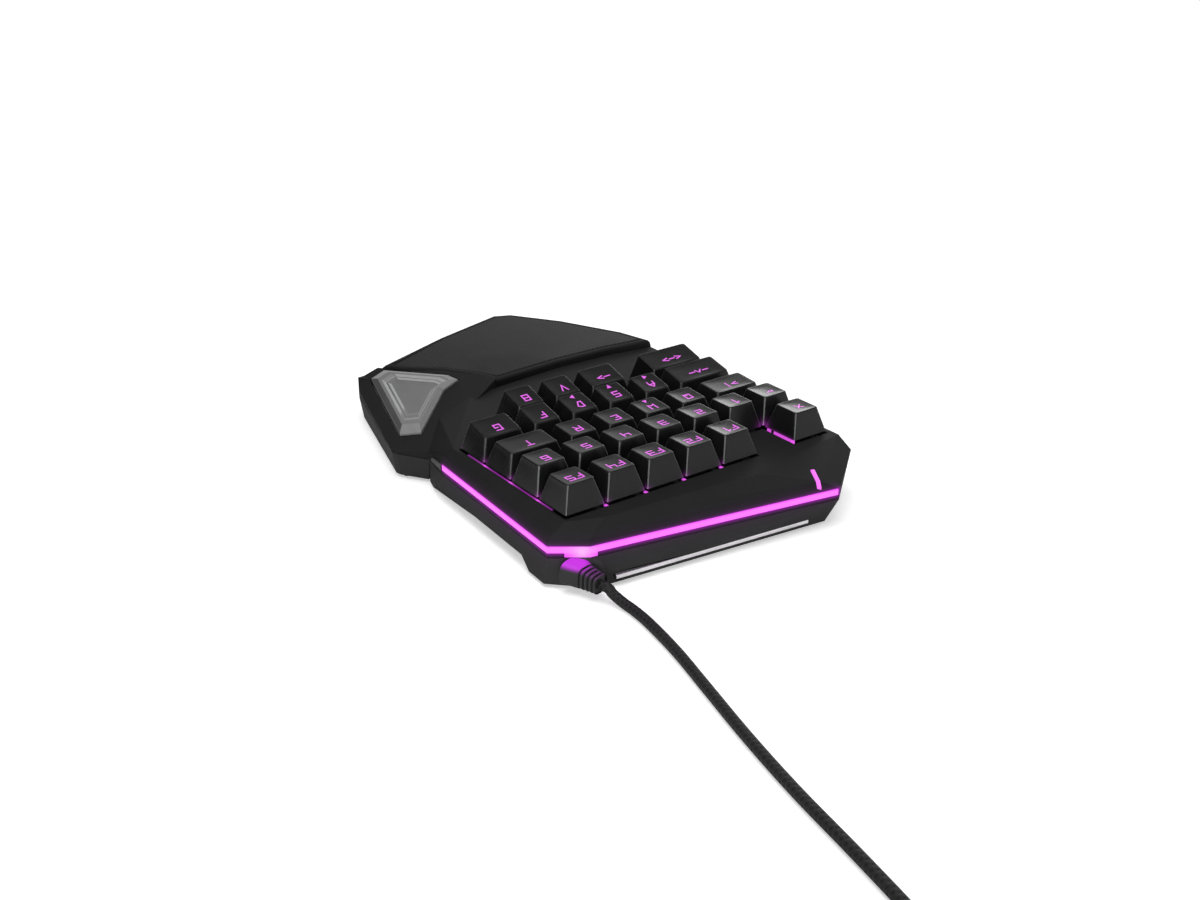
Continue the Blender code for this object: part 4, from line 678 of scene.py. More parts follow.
@dataclass(frozen=True)
class WellLight:
    """The lit rods in the well under the caps, brightest where a row's gap shows them."""

    name: str = "well_light"
    first_peak: float = 0.0813
    peak_reach: float = 1.6 * MILLIMETRE
    escape_right: Pair = (-0.047, -0.045)
    escape_share: float = 0.65
    dim: Triple = (0.20, 0.02, 0.23)
    bright: Triple = (0.95, 0.12, 1.0)

    def material(self) -> Material:
        """Build the finish.

        Returns:
            The material.
        """
        graph = Graph(self.name)
        peak = graph.axis("Y").repeated(self.first_peak, KEY_PITCH).fall(self.peak_reach)
        escape = (1.0 - graph.axis("X").between(*self.escape_right)) * self.escape_share
        return graph.dress(
            Base_Color=(0.03, 0.01, 0.03),
            Roughness=0.5 + (graph.noise(0.004) - 0.5) * 0.1,
            Emission_Color=graph.mix(peak.largest(escape), self.dim, self.bright),
        )


def unit(vectors: np.ndarray) -> np.ndarray:
    """Return vectors scaled to a length of one."""
    return vectors / np.linalg.norm(vectors, axis=-1, keepdims=True)


def circle(angles: np.ndarray) -> np.ndarray:
    """Return the cosine and sine of angles in radians as the last axis of an array."""
    return np.stack([np.cos(angles), np.sin(angles)], axis=-1)


def round_angles(count: int) -> np.ndarray:
    """Return a number of angles spread evenly over a full turn."""
    return np.arange(count) * 2 * math.pi / count


def lengths_along(path: np.ndarray) -> np.ndarray:
    """Return how far along a polyline each of its points lies."""
    return np.concatenate([[0.0], np.cumsum(np.linalg.norm(np.diff(path, axis=0), axis=1))])


def sampled(marks: np.ndarray, places: np.ndarray, points: np.ndarray) -> np.ndarray:
    """Return the points of a polyline at marks, by straight mixes of the points at its places."""
    return np.column_stack([np.interp(marks, places, column) for column in points.T])


class Form(Enum):
    """How a grid of points closes: rings with both ends capped, rings in a loop, or an open sheet."""

    TUBE = "tube"
    LOOP = "loop"
    SHEET = "sheet"


def surface_mesh(name: str, points: np.ndarray, form: Form = Form.TUBE) -> Mesh:
    """Make a mesh from a grid of points.

    Args:
        name: the mesh's name.
        points: an array of rows, columns and three coordinates.
        form: how the grid closes; a cap is a fan from its ring's middle.

    Returns:
        The mesh, whose faces turn outwards where the rows climb and the rings turn counter-clockwise.
    """
    rows, columns = points.shape[:2]
    row_steps = rows if form is Form.LOOP else rows - 1
    column_steps = columns - 1 if form is Form.SHEET else columns
    row, column = np.meshgrid(np.arange(row_steps), np.arange(column_steps), indexing="ij")
    here, above, following = row * columns, (row + 1) % rows * columns, (column + 1) % columns
    quads = np.stack([here + column, here + following, above + following, above + column], axis=-1)
    vertices = points.reshape(-1, 3)
    faces = quads.reshape(-1, 4).tolist()
    for index in (0, rows - 1) if form is Form.TUBE else ():
        ring = index * columns + np.arange(columns)
        pair = (ring, np.roll(ring, -1)) if index else (np.roll(ring, -1), ring)
        faces += np.stack([*pair, np.full(columns, len(vertices))], axis=-1).tolist()
        vertices = np.vstack([vertices, points[index].mean(axis=0)])
    mesh = bpy.data.meshes.new(name)
    mesh.from_pydata(vertices.tolist(), [], faces)
    mesh.update()
    return mesh


def rebuilt(name: str, sources: list[Mesh], *edits: Callable[[bmesh.types.BMesh], object]) -> Mesh:
    """Join meshes into a new one and edit it.

    Args:
        name: the new mesh's name.
        sources: the meshes, which stay as they are.
        edits: what is done to their joined shape, in turn.

    Returns:
        The new mesh.
    """
    shape = bmesh.new()
    for mesh in sources:
        shape.from_mesh(mesh)
    for edit in edits:
        edit(shape)
    result = bpy.data.meshes.new(name)
    shape.to_mesh(result)
    shape.free()
    return result


def weld(shape: bmesh.types.BMesh, distance: float = 0.01 * MILLIMETRE) -> None:
    """Join the points of a shape that lie within a distance of one another."""
    bmesh.ops.remove_doubles(shape, verts=shape.verts, dist=distance)


def flatten(shape: bmesh.types.BMesh) -> None:
    """Weld a solid's loose triangles finely and join those that lie in one plane."""
    weld(shape, 0.004 * MILLIMETRE)
    bmesh.ops.dissolve_limit(shape, angle_limit=math.radians(0.6), verts=shape.verts, edges=shape.edges)


def linked(name: str, data: bpy.types.ID) -> bpy.types.Object:
    """Make an object of a mesh, lamp or camera, link it to the scene and return it."""
    item = bpy.data.objects.new(name, data)
    bpy.context.scene.collection.objects.link(item)
    return item


def place_piece(
    name: str,
    mesh: Mesh,
    material: Material,
    body: str,
    replaced: tuple[str, ...] = (),
    smooth: float | None = 40.0,
) -> bpy.types.Object:
    """Link a finished piece and bind it to the frame.

    Args:
        name: the piece's name.
        mesh: its mesh, in world coordinates.
        material: its finish.
        body: the body it rides on.
        replaced: the solids it stands for.
        smooth: the angle in degrees up to which faces shade as one, or None for flat faces.

    Returns:
        The piece.
    """
    mesh.materials.clear()
    mesh.materials.append(material)
    if smooth is not None:
        mesh.shade_smooth()
        mesh.set_sharp_from_angle(angle=math.radians(smooth))
    piece = linked(name, mesh)
    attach(piece, body)
    if replaced:
        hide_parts(*replaced)
    LOG.info("%s: %d faces on %s", name, len(mesh.polygons), body)
    return piece


@dataclass
class RoundedCopy:
    """A solid's own shape with its edges rounded."""

    node: str
    name: str
    slot: str
    width: float
    segments: int = 3
    angle: float = 25.0

    def build(self, frame: dict, material: Material) -> bpy.types.Object:
        """Make the rounded piece in the solid's place.

        Args:
            frame: the loaded frame.
            material: its finish.

        Returns:
            The piece.
        """
        mesh = rebuilt(self.name, [frame["nodes"][self.node].data], flatten)
        piece = place_piece(self.name, mesh, material, BASE, (self.node,), None)
        mesh.shade_smooth()
        bevel = piece.modifiers.new("rounded_edges", "BEVEL")
        bevel.limit_method = "ANGLE"
        bevel.angle_limit = math.radians(self.angle)
        bevel.width = self.width
        bevel.segments = self.segments
        bevel.harden_normals = True
        return piece


class Sculpt(Enum):
    """How each row of caps is cut: its rise over the first row, and its top's tilt in degrees."""

    FUNCTION = (0.0, 0.0)
    NUMBER = (0.0007, 0.0)
    UPPER = (-0.0011, -4.0)
    HOME = (-0.0004, -13.0)
    LOWER = (-0.0003, -16.0)

    @property
    def rise(self) -> float:
        """Return the rise in metres."""
        return self.value[0]

    @property
    def slope(self) -> float:
        """Return the top's slope along Y."""
        return math.tan(math.radians(self.value[1]))


@dataclass(frozen=True)
class KeySign:
    """A cap's row, its key, its drawn signs and the arrow below them, if there is one."""

    row: Sculpt
    key: str
    signs: str
    arrow: str = ""

    def foot(self) -> Triple:
        """Return the middle of the key's solid in plan, and its lowest level."""
        low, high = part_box(f"key_{self.key}")
        return ((low.x + high.x) / 2, (low.y + high.y) / 2, low.z)


# Each cap of a row as its key, its signs and its arrow, apart by colons
KEY_ROWS = {
    Sculpt.FUNCTION: "escape:× f1:F1 f2:F2 f3:F3 f4:F4 f5:F5",
    Sculpt.NUMBER: "tilde:~ 1:1 2:2 3:3 4:4 5:5 extra:6",
    Sculpt.UPPER: "tab:>| q:Q w:W:^ e:E r:R t:T",
    Sculpt.HOME: "shift:=^= a:A:< s:S:v d:D:> f:F g:G",
    Sculpt.LOWER: "control:<=> alt:=> v:V b:B",
}
KEY_SIGNS = tuple(KeySign(row, *cap.split(":")) for row, caps in KEY_ROWS.items() for cap in caps.split())

# Strokes of each sign on a lattice of three columns and five rows, lettered a to o from the top left
STROKES = {
    "A": "mgbio gi", "B": "acomag gi", "D": "abfnma", "E": "camo gh", "F": "cam gh", "G": "camoih",
    "Q": "acoma ko", "R": "macig ho", "S": "cagiom", "T": "ac bn", "V": "anc", "W": "amkoc",
    "1": "dbn", "2": "acigmo", "3": "acom gi", "4": "agi co", "5": "cagiom", "6": "camoig",
    "×": "do fm", "~": "gdhf", "|": "bn", "=": "gi", "^": "jel", "<": "fgl", ">": "dij", "v": "dnf",
}


@dataclass
class KeyCaps:
    """The caps: tapered shells with rounded corners, a rounded rim and a dished top."""

    height: float = 0.0105
    taper: float = 0.00295
    corner: float = 0.0009
    rim: float = 0.00045
    rim_inset: float = 0.25
    side_corner: float = 1.25
    wall: float = 0.0013
    inner_taper: float = 0.8
    ceiling: float = 0.0020
    dish: float = 0.00034
    plunger: float = 0.0033
    plunger_reach: float = 0.0080
    arc_steps: int = 6
    edge_steps: int = 8
    sign_width: float = 0.0028
    sign_height: float = 0.0036
    sign_step: float = 0.0037
    sign_left: float = -0.0005
    sign_back: float = 0.0012
    arrow_back: float = -0.0044
    arrow_size: float = 0.0027
    stroke: float = 0.00060
    stroke_rise: float = 0.00005
    stroke_depth: float = 0.00030

    def ring(self, half_x: float, half_y: float, corner: float) -> np.ndarray:
        """Return a rounded rectangle: an arc about each corner's centre, then a straight edge to the next.

        Args:
            half_x: half its width.
            half_y: half its depth.
            corner: the arcs' radius.

        Returns:
            Points counter-clockwise, as an array of (count, 2).
        """
        signs = np.array([(1, 1), (-1, 1), (-1, -1), (1, -1)], float)
        centres = signs * (half_x - corner, half_y - corner)
        turns = (np.arange(4)[:, None] + np.linspace(0.0, 1.0, self.arc_steps + 1)) * math.pi / 2
        arcs = centres[:, None, :] + corner * circle(turns)
        following = np.roll(arcs[:, 0], -1, axis=0)
        shares = np.arange(1, self.edge_steps)[None, :, None] / self.edge_steps
        edges = arcs[:, -1][:, None, :] * (1.0 - shares) + following[:, None, :] * shares
        return np.concatenate([arcs, edges], axis=1).reshape(-1, 2)

    def top_height(self, places: np.ndarray, face: Pair, row: Sculpt) -> np.ndarray:
        """Return the dished top's height over plan points.

        The height is a tilted plane less a dish, whose depth falls as a product of parabolas in X
        and a fourth power in Y, from the middle to nothing at the rim.

        Args:
            places: points about the cap's middle, (..., 2).
            face: half the top's width and depth.
            row: the row's sculpt.

        Returns:
            Heights above the skirt.
        """
        share = np.clip(np.abs(places) / face, 0.0, 1.0)
        hollow = self.dish * (1.0 - share[..., 0] ** 2) * (1.0 - share[..., 1] ** 4)
        return self.height + row.rise + row.slope * places[..., 1] - hollow

    def shell(self, half: Pair, row: Sculpt) -> np.ndarray:
        """Return the cap's closed surface as rings: plunger, inside, skirt, sides, rim and dished top.

        Between the skirt and the rim each ring is a straight mix of the level skirt and the tilted
        top; the rim is a quarter of a circle; the top's rings shrink to the middle.

        Args:
            half: half the skirt's width and depth.
            row: the row's sculpt.

        Returns:
            Points as an array of (rings, points, 3) about the middle of the skirt.
        """
        face = np.array(half) - self.taper
        top = self.height + row.rise
        inner_top = top - self.ceiling - abs(row.slope) * face[1]
        rings = []

        def add(size_x: float, size_y: float, corner: float, level: float, tilted: float) -> None:
            """Add a ring at a level, tilted by a share of the row's slope."""
            plan = self.ring(size_x, size_y, corner)
            rings.append(np.column_stack([plan, level + row.slope * tilted * plan[:, 1]]))

        post, post_corner = self.plunger, self.corner / 2
        inner = np.array(half) - self.wall
        add(post, post, post_corner, -self.plunger_reach, 0.0)
        add(post, post, post_corner, inner_top, 0.0)
        add(*(inner - self.taper * self.inner_taper), post_corner, inner_top, 0.0)
        add(*inner, post_corner, 0.0, 0.0)
        add(*half, self.corner, 0.0, 0.0)
        side_top = top - self.rim
        for share in np.linspace(0.15, 1.0, 5):
            size = np.array(half) * (1.0 - share) + (face + self.rim * self.rim_inset) * share
            corner = self.corner * (1.0 - share) + self.corner * self.side_corner * share
            add(*size, corner, side_top * share, share)
        for angle in np.linspace(0.2, 1.0, 5) * math.pi / 2:
            inset = self.rim * (1.0 - math.cos(angle)) - self.rim * self.rim_inset
            level = side_top + self.rim * math.sin(angle)
            add(*(face - inset), self.corner * self.side_corner - inset * 0.4, level, 1.0)
        brim = face - self.rim * (1.0 - self.rim_inset)
        for share in np.linspace(0.92, 0.08, 9):
            plan = self.ring(*(brim * share), max(self.corner * share, 0.0001))
            height = self.top_height(plan, tuple(brim), row)
            rings.append(np.column_stack([plan, height]))
        return np.array(rings)

    def stroke_points(self, code: str, centre: np.ndarray) -> list[np.ndarray]:
        """Return a sign's strokes as polylines on the cap's top.

        Args:
            code: the lattice letters of each stroke, apart by spaces.
            centre: the sign's middle in plan.

        Returns:
            A polyline for each stroke, each run cut in three, as arrays of (count, 2).
        """
        lines = []
        for stroke in code.split():
            cells = np.array([divmod(ord(letter) - ord("a"), 3) for letter in stroke], float)
            across, down = (cells[:, 1] - 1.0) / 2, (2.0 - cells[:, 0]) / 4
            plan = np.column_stack([across * self.sign_width, down * self.sign_height])
            marks = np.linspace(0.0, len(plan) - 1.0, (len(plan) - 1) * 3 + 1)
            lines.append(sampled(marks, np.arange(len(plan)), plan) + centre)
        return lines

    def ribbon(self, line: np.ndarray, face: Pair, row: Sculpt) -> Mesh:
        """Carry a flat bar along a stroke, mitred at its corners and set into the cap's top.

        The mitre at a point is the sum of its two normals over one plus their cosine.

        Args:
            line: the stroke in plan, (count, 2).
            face: half the top's width and depth.
            row: the row's sculpt.

        Returns:
            The bar's closed mesh about the middle of the skirt.
        """
        ways = unit(np.diff(line, axis=0))
        closed = np.allclose(line[0], line[-1])
        before = np.vstack([ways[-1] if closed else ways[0], ways])
        after = np.vstack([ways, ways[0] if closed else ways[-1]])
        if not closed:
            reach = self.stroke / 2
            line = np.vstack([line[0] - ways[0] * reach, line[1:-1], line[-1] + ways[-1] * reach])
        first = np.column_stack([-before[:, 1], before[:, 0]])
        second = np.column_stack([-after[:, 1], after[:, 0]])
        mitre = (first + second) / (1.0 + np.clip((first * second).sum(axis=1), -0.6, 1.0))[:, None]
        left, right = line + mitre * self.stroke / 2, line - mitre * self.stroke / 2
        rows = []
        for plan, drop in ((left, self.stroke_depth), (left, 0.0), (right, 0.0), (right, self.stroke_depth)):
            height = self.top_height(plan, face, row) + self.stroke_rise - drop
            rows.append(np.column_stack([plan, height]))
        grid = np.stack(rows, axis=1)
        return surface_mesh("stroke", grid[:-1], Form.LOOP) if closed else surface_mesh("stroke", grid)

    def sign_mesh(self, sign: KeySign, half: Pair) -> Mesh:
        """Return a cap's signs as one mesh about the middle of the skirt.

        Args:
            sign: the cap's signs.
            half: half the skirt's width and depth.

        Returns:
            The joined strokes.
        """
        face = tuple(np.array(half) - self.taper - self.rim * (1.0 - self.rim_inset))
        meshes = []
        span = (len(sign.signs) - 1) * self.sign_step
        for index, letter in enumerate(sign.signs):
            centre = np.array([index * self.sign_step - span / 2 + self.sign_left, self.sign_back])
            lines = self.stroke_points(STROKES[letter], centre)
            meshes += [self.ribbon(line, face, sign.row) for line in lines]
        if sign.arrow:
            meshes.append(self.arrow(sign.arrow, face, sign.row))
        return rebuilt(f"sign_{sign.key}", meshes)

    def arrow(self, pointing: str, face: Pair, row: Sculpt) -> Mesh:
        """Return a filled triangle set into the cap's top.

        Its corners stand a third of a turn apart on a circle, from the way that it points.

        Args:
            pointing: the arrow's sign.
            face: half the top's width and depth.
            row: the row's sculpt.

        Returns:
            The triangle's closed mesh about the middle of the skirt.
        """
        turns = ">^<v".index(pointing) / 4 + np.arange(3) / 3
        plan = circle(turns * 2 * math.pi) * self.arrow_size / 2 + (self.sign_left, self.arrow_back)
        height = self.top_height(plan, face, row) + self.stroke_rise
        levels = (height - self.stroke_depth, height)
        return surface_mesh("arrow", np.stack([np.column_stack([plan, level]) for level in levels]))

    def build(self, coating: Material, lit: Material) -> None:
        """Build every cap and its signs.

        Args:
            coating: the caps' finish.
            lit: the signs' finish.
        """
        for sign in KEY_SIGNS:
            node, name, body = f"key_{sign.key}", f"cap_{sign.key}_shell", f"cap_{sign.key}"
            low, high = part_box(node)
            half = ((high.x - low.x) / 2, (high.y - low.y) / 2)
            middle = sign.foot() + np.array([0.0, 0.0, self.plunger_reach])
            mesh = surface_mesh(name, self.shell(half, sign.row) + middle)
            place_piece(name, mesh, coating, body, (node,), 35.0)
            drawn = self.sign_mesh(sign, half)
            drawn.transform(Matrix.Translation(Vector(middle)))
            place_piece(f"sign_{sign.key}", drawn, lit, body, (), None)


@dataclass
class Cord:
    """The cord: out of the strain relief, along the desk and into a coil of stacked spirals.

    Its route repeats the route of the solids, moved to the world's origin.
    """

    shift: Pair = (-0.069625, 0.085632)
    radius: float = 0.0020
    gap: float = 0.00055
    rest: float = 0.00206
    route: tuple[Triple, ...] = (
        (0.1310, 0.0262, 0.0020), (0.1300, 0.0318, 0.0003), (0.1298, 0.0380, 0.0), (0.1308, 0.0480, 0.0),
        (0.1345, 0.0680, 0.0), (0.1405, 0.0920, 0.0), (0.1470, 0.1180, 0.0), (0.1530, 0.1460, 0.0),
        (0.1580, 0.1750, 0.0), (0.1630, 0.2020, 0.0),
    )
    coil_place: Pair = (0.1985, 0.2365)
    coil_radius: float = 0.0205
    layers: int = 4
    layer_turns: int = 3
    turn_points: int = 48
    heading: float = math.radians(75.0)
    bend: float = 0.0140
    plug_height: float = 0.0076
    fit: float = 0.0003
    step: float = 1.2 * MILLIMETRE
    sides: int = 20

    def coil(self) -> np.ndarray:
        """Return the coil's line.

        Each layer is a spiral, in and out by turns, a cord's width below the next; the last stretch
        bends by a quarter circle and lies across the top.

        Returns:
            Points in the layout's metres, (count, 3).
        """
        pitch = 2 * self.radius + self.gap
        turns = self.layers * self.layer_turns
        turn = np.arange(turns * self.turn_points + 1) / self.turn_points
        layer = np.minimum((turn / self.layer_turns).astype(int), self.layers - 1)
        share = turn - layer * self.layer_turns
        outer = self.coil_radius + pitch * self.layer_turns / 2
        radius = outer - pitch * np.where(layer % 2 == 0, share, self.layer_turns - share)
        angle = self.heading + math.pi / 2 - 2 * math.pi * turn
        edges = np.arange(1, self.layers)[:, None] * self.layer_turns
        climbs = np.clip(2 * (turn[None, :] - edges) + 0.5, 0.0, 1.0).sum(axis=0)
        climbs += np.maximum(2 * (turn - turns) + 1.0, 0.0)
        plan = np.array(self.coil_place) + radius[:, None] * circle(angle)
        wound = np.column_stack([plan, self.rest + pitch * climbs])
        ahead = np.array([math.cos(self.heading), math.sin(self.heading)])
        right = np.array([ahead[1], -ahead[0]])
        top = self.rest + pitch * (self.layers - 1) + self.radius + self.fit + self.plug_height / 2
        turned = np.linspace(0.0, 1.0, self.turn_points // 4 + 1)[1:]
        sweep = turned[:, None] * math.pi / 2
        bend = wound[-1, :2] + self.bend * (ahead * np.sin(sweep) + right * (1 - np.cos(sweep)))
        rise = wound[-1, 2] + (top - wound[-1, 2]) * turned
        last = np.append(bend[-1] + right * 2 * self.radius, top)
        first = wound[0] - np.append(ahead, 0.0) * 2 * self.radius
        return np.vstack([first, wound, np.column_stack([bend, rise]), last])

    def path(self) -> np.ndarray:
        """Return the whole line in world metres: a smooth curve through the route, then the coil.

        The curve between two points is the cubic through them whose slopes follow their neighbours.

        Returns:
            Points about a millimetre apart on the desk and along the coil, (count, 3).
        """
        coil = self.coil() + (*self.shift, 0.0)
        start, axis = np.array(CORD_EXIT), np.array(CORD_AXIS)
        lying = np.array(self.route) + (*self.shift, self.rest)
        ahead = np.array([math.cos(self.heading), math.sin(self.heading), 0.0])
        end = coil[0] - ahead * self.fit
        knots = np.vstack([start, start + axis * 2 * self.radius, lying, end - ahead * 2 * self.radius, end])
        padded = np.vstack([2 * knots[0] - knots[1], knots, 2 * knots[-1] - knots[-2]])
        part = np.linspace(0.0, 1.0, 40, endpoint=False)[None, :, None]
        before, begin, finish, after = (padded[i:i + len(knots) - 1][:, None, :] for i in range(4))
        curve = (
            2 * begin + part * (finish - before) + part ** 2 * (2 * before - 5 * begin + 4 * finish - after)
            + part ** 3 * (3 * begin - before - 3 * finish + after)
        ) / 2
        dense = np.vstack([curve.reshape(-1, 3), knots[-1]])
        travelled = lengths_along(dense)
        marks = np.linspace(0.0, travelled[-1], round(travelled[-1] / self.step) + 1)
        return np.vstack([sampled(marks, travelled, dense)[:-1], coil])

    def tube(self, path: np.ndarray) -> Mesh:
        """Carry a circle along the path, one axis of each section held level.

        Args:
            path: the cord's line, (count, 3).

        Returns:
            The closed mesh.
        """
        ways = unit(np.gradient(path, axis=0))
        side = unit(np.cross(ways, (0.0, 0.0, 1.0)))
        axes = np.stack([side, -np.cross(side, ways)], axis=1)
        return surface_mesh("cord", path[:, None, :] + circle(round_angles(self.sides)) @ axes * self.radius)

    def build(self, sleeve: Material, plug_pieces: list[str]) -> None:
        """A face that spans the seam has 1 in place of 0 turns there.

        Args:
            sleeve: its finish.
            plug_pieces: the names of the plug's pieces; not used.
        """
        path = self.path()
        travelled = lengths_along(path)
        mesh = self.tube(path)
        loops, faces = mesh.loops, mesh.polygons
        vertices, starts, totals = (np.empty(len(rows), int) for rows in (loops, faces, faces))
        loops.foreach_get("vertex_index", vertices)
        faces.foreach_get("loop_start", starts)
        faces.foreach_get("loop_total", totals)
        inside = np.minimum(vertices, len(path) * self.sides - 1)
        around = (inside % self.sides) / self.sides
        widest = np.repeat(np.maximum.reduceat(around, starts), totals)
        around = np.where((around == 0.0) & (widest > 0.5), 1.0, around)
        layer = mesh.uv_layers.new(name="sleeve")
        layer.data.foreach_set("uv", np.column_stack([travelled[inside // self.sides], around]).ravel())
        solids = ("cord_lead", "cord_coil")
        piece = place_piece("cord_sleeve", mesh, sleeve, BASE, solids, 60.0)


@dataclass
class ThumbKey:
    """The translucent thumb key: a bevelled face with a sunk relief, a hollow underside and a post.

    It is worked out in the wing's own frame: X down the wing, Y across it, Z out of it.
    """

    origin: Triple = (0.030525, -0.035818, 0.024)
    slope: float = math.radians(14.7)
    turn: float = math.radians(-4.9)
    heel: Pair = (0.014825, -0.012418)
    wing_size: Pair = (0.060, 0.089)
    corner_shares: tuple[Pair, ...] = (
        (0.583, 0.915), (0.455, 0.931), (0.197, 0.549), (0.188, 0.467), (0.332, 0.446), (0.757, 0.182),
        (0.863, 0.262),
    )
    plain_edges: tuple[float, ...] = (1.0, 1.0, 0.0, 0.0, 0.0, 0.0, 0.0)
    draft: float = 0.0012
    flange_run: float = 0.0017
    flange_top: float = -0.0025
    flange_end: float = -0.0036
    wall: float = 0.0014
    ceiling: float = -0.0007
    post_half: float = 0.0030
    post_drop: float = 0.0055
    crown: tuple[Pair, ...] = (
        (1.0, -0.0002), (0.995, 0.0004), (0.985, 0.0007), (0.845, 0.00185), (0.825, 0.0020), (0.805, 0.0020),
        (0.735, 0.0020), (0.725, 0.00195), (0.665, 0.00150), (0.655, 0.00140), (0.635, 0.00165),
        (0.600, 0.00165), (0.585, 0.00155), (0.535, 0.00128), (0.520, 0.00125), (0.25, 0.00125),
    )

    def frame(self) -> np.ndarray:
        """Return the wing's axes as the columns of an array: down, across and out."""
        down = unit(np.array([math.cos(self.turn), math.sin(self.turn), -math.tan(self.slope)]))
        across = np.array([-math.sin(self.turn), math.cos(self.turn), 0.0])
        return np.stack([down, across, np.cross(down, across)], axis=1)

    def corners(self) -> np.ndarray:
        """Return the key's outline in the wing's plane: points over it, dropped onto its slope.

        Returns:
            Points clockwise, (count, 2).
        """
        shares = np.array(self.corner_shares)
        plan = np.array(self.heel) + shares * (self.wing_size[0], -self.wing_size[1])
        axes = self.frame()
        out = axes[:, 2]
        away = plan - self.origin[:2]
        level = -(away @ out[:2]) / out[2]
        return np.column_stack([away, level]) @ axes[:, :2]

    def drawn_in(self, outline: np.ndarray, insets: np.ndarray) -> np.ndarray:
        """Move each edge of an outline inwards by its inset; corners are where moved edges cross.

        Args:
            outline: points clockwise, (count, 2).
            insets: the inset of the edge that leaves each point.

        Returns:
            The new corners, (count, 2).
        """
        ways = unit(np.roll(outline, -1, axis=0) - outline)
        inwards = np.stack([ways[:, 1], -ways[:, 0]], axis=1)
        level = (inwards * outline).sum(axis=1) + insets
        pairs = np.stack([np.roll(inwards, 1, axis=0), inwards], axis=1)
        levels = np.stack([np.roll(level, 1), level], axis=1)[..., None]
        return np.linalg.solve(pairs, levels)[..., 0]

    def build(self, smoke: Material) -> None:
        """Carry the outline inwards and upwards over the crown, and add the post underneath.

        Args:
            smoke: its finish.
        """
        outline = self.corners()
        centre = outline.mean(axis=0)
        plain = np.array(self.plain_edges)
        skirt = self.drawn_in(outline, plain * self.draft)
        flange = self.drawn_in(skirt, (plain - 1.0) * self.flange_run)
        inner = self.drawn_in(skirt, np.full(len(outline), self.wall))
        rings = [(inner, self.ceiling), (inner, self.flange_end), (flange, self.flange_end),
                 (flange, self.flange_top), (skirt, self.flange_top)]
        rings += [(centre + (outline - centre) * share, height) for share, height in self.crown]
        sections = [np.column_stack([plan[::-1], np.full(len(plan), height)]) for plan, height in rings]
        axes = self.frame()
        face = surface_mesh("thumb_face", np.array(sections) @ axes.T + self.origin)
        middle = np.append(centre, 0.0) @ axes.T + self.origin
        square = np.array([(-1, -1), (1, -1), (1, 1), (-1, 1)]) * self.post_half
        lean = -(square @ axes[:2, 2]) / axes[2, 2]
        foot = np.column_stack([square, np.full(4, -self.post_drop)])
        head = np.column_stack([square, lean + self.ceiling * 0.6])
        post = surface_mesh("thumb_post", np.array([foot, head]) + middle)
        mesh = rebuilt("thumb_key_lens", [face, post])
        place_piece("thumb_key_lens", mesh, smoke, "thumb_cap", ("thumb_key",), 12.0)


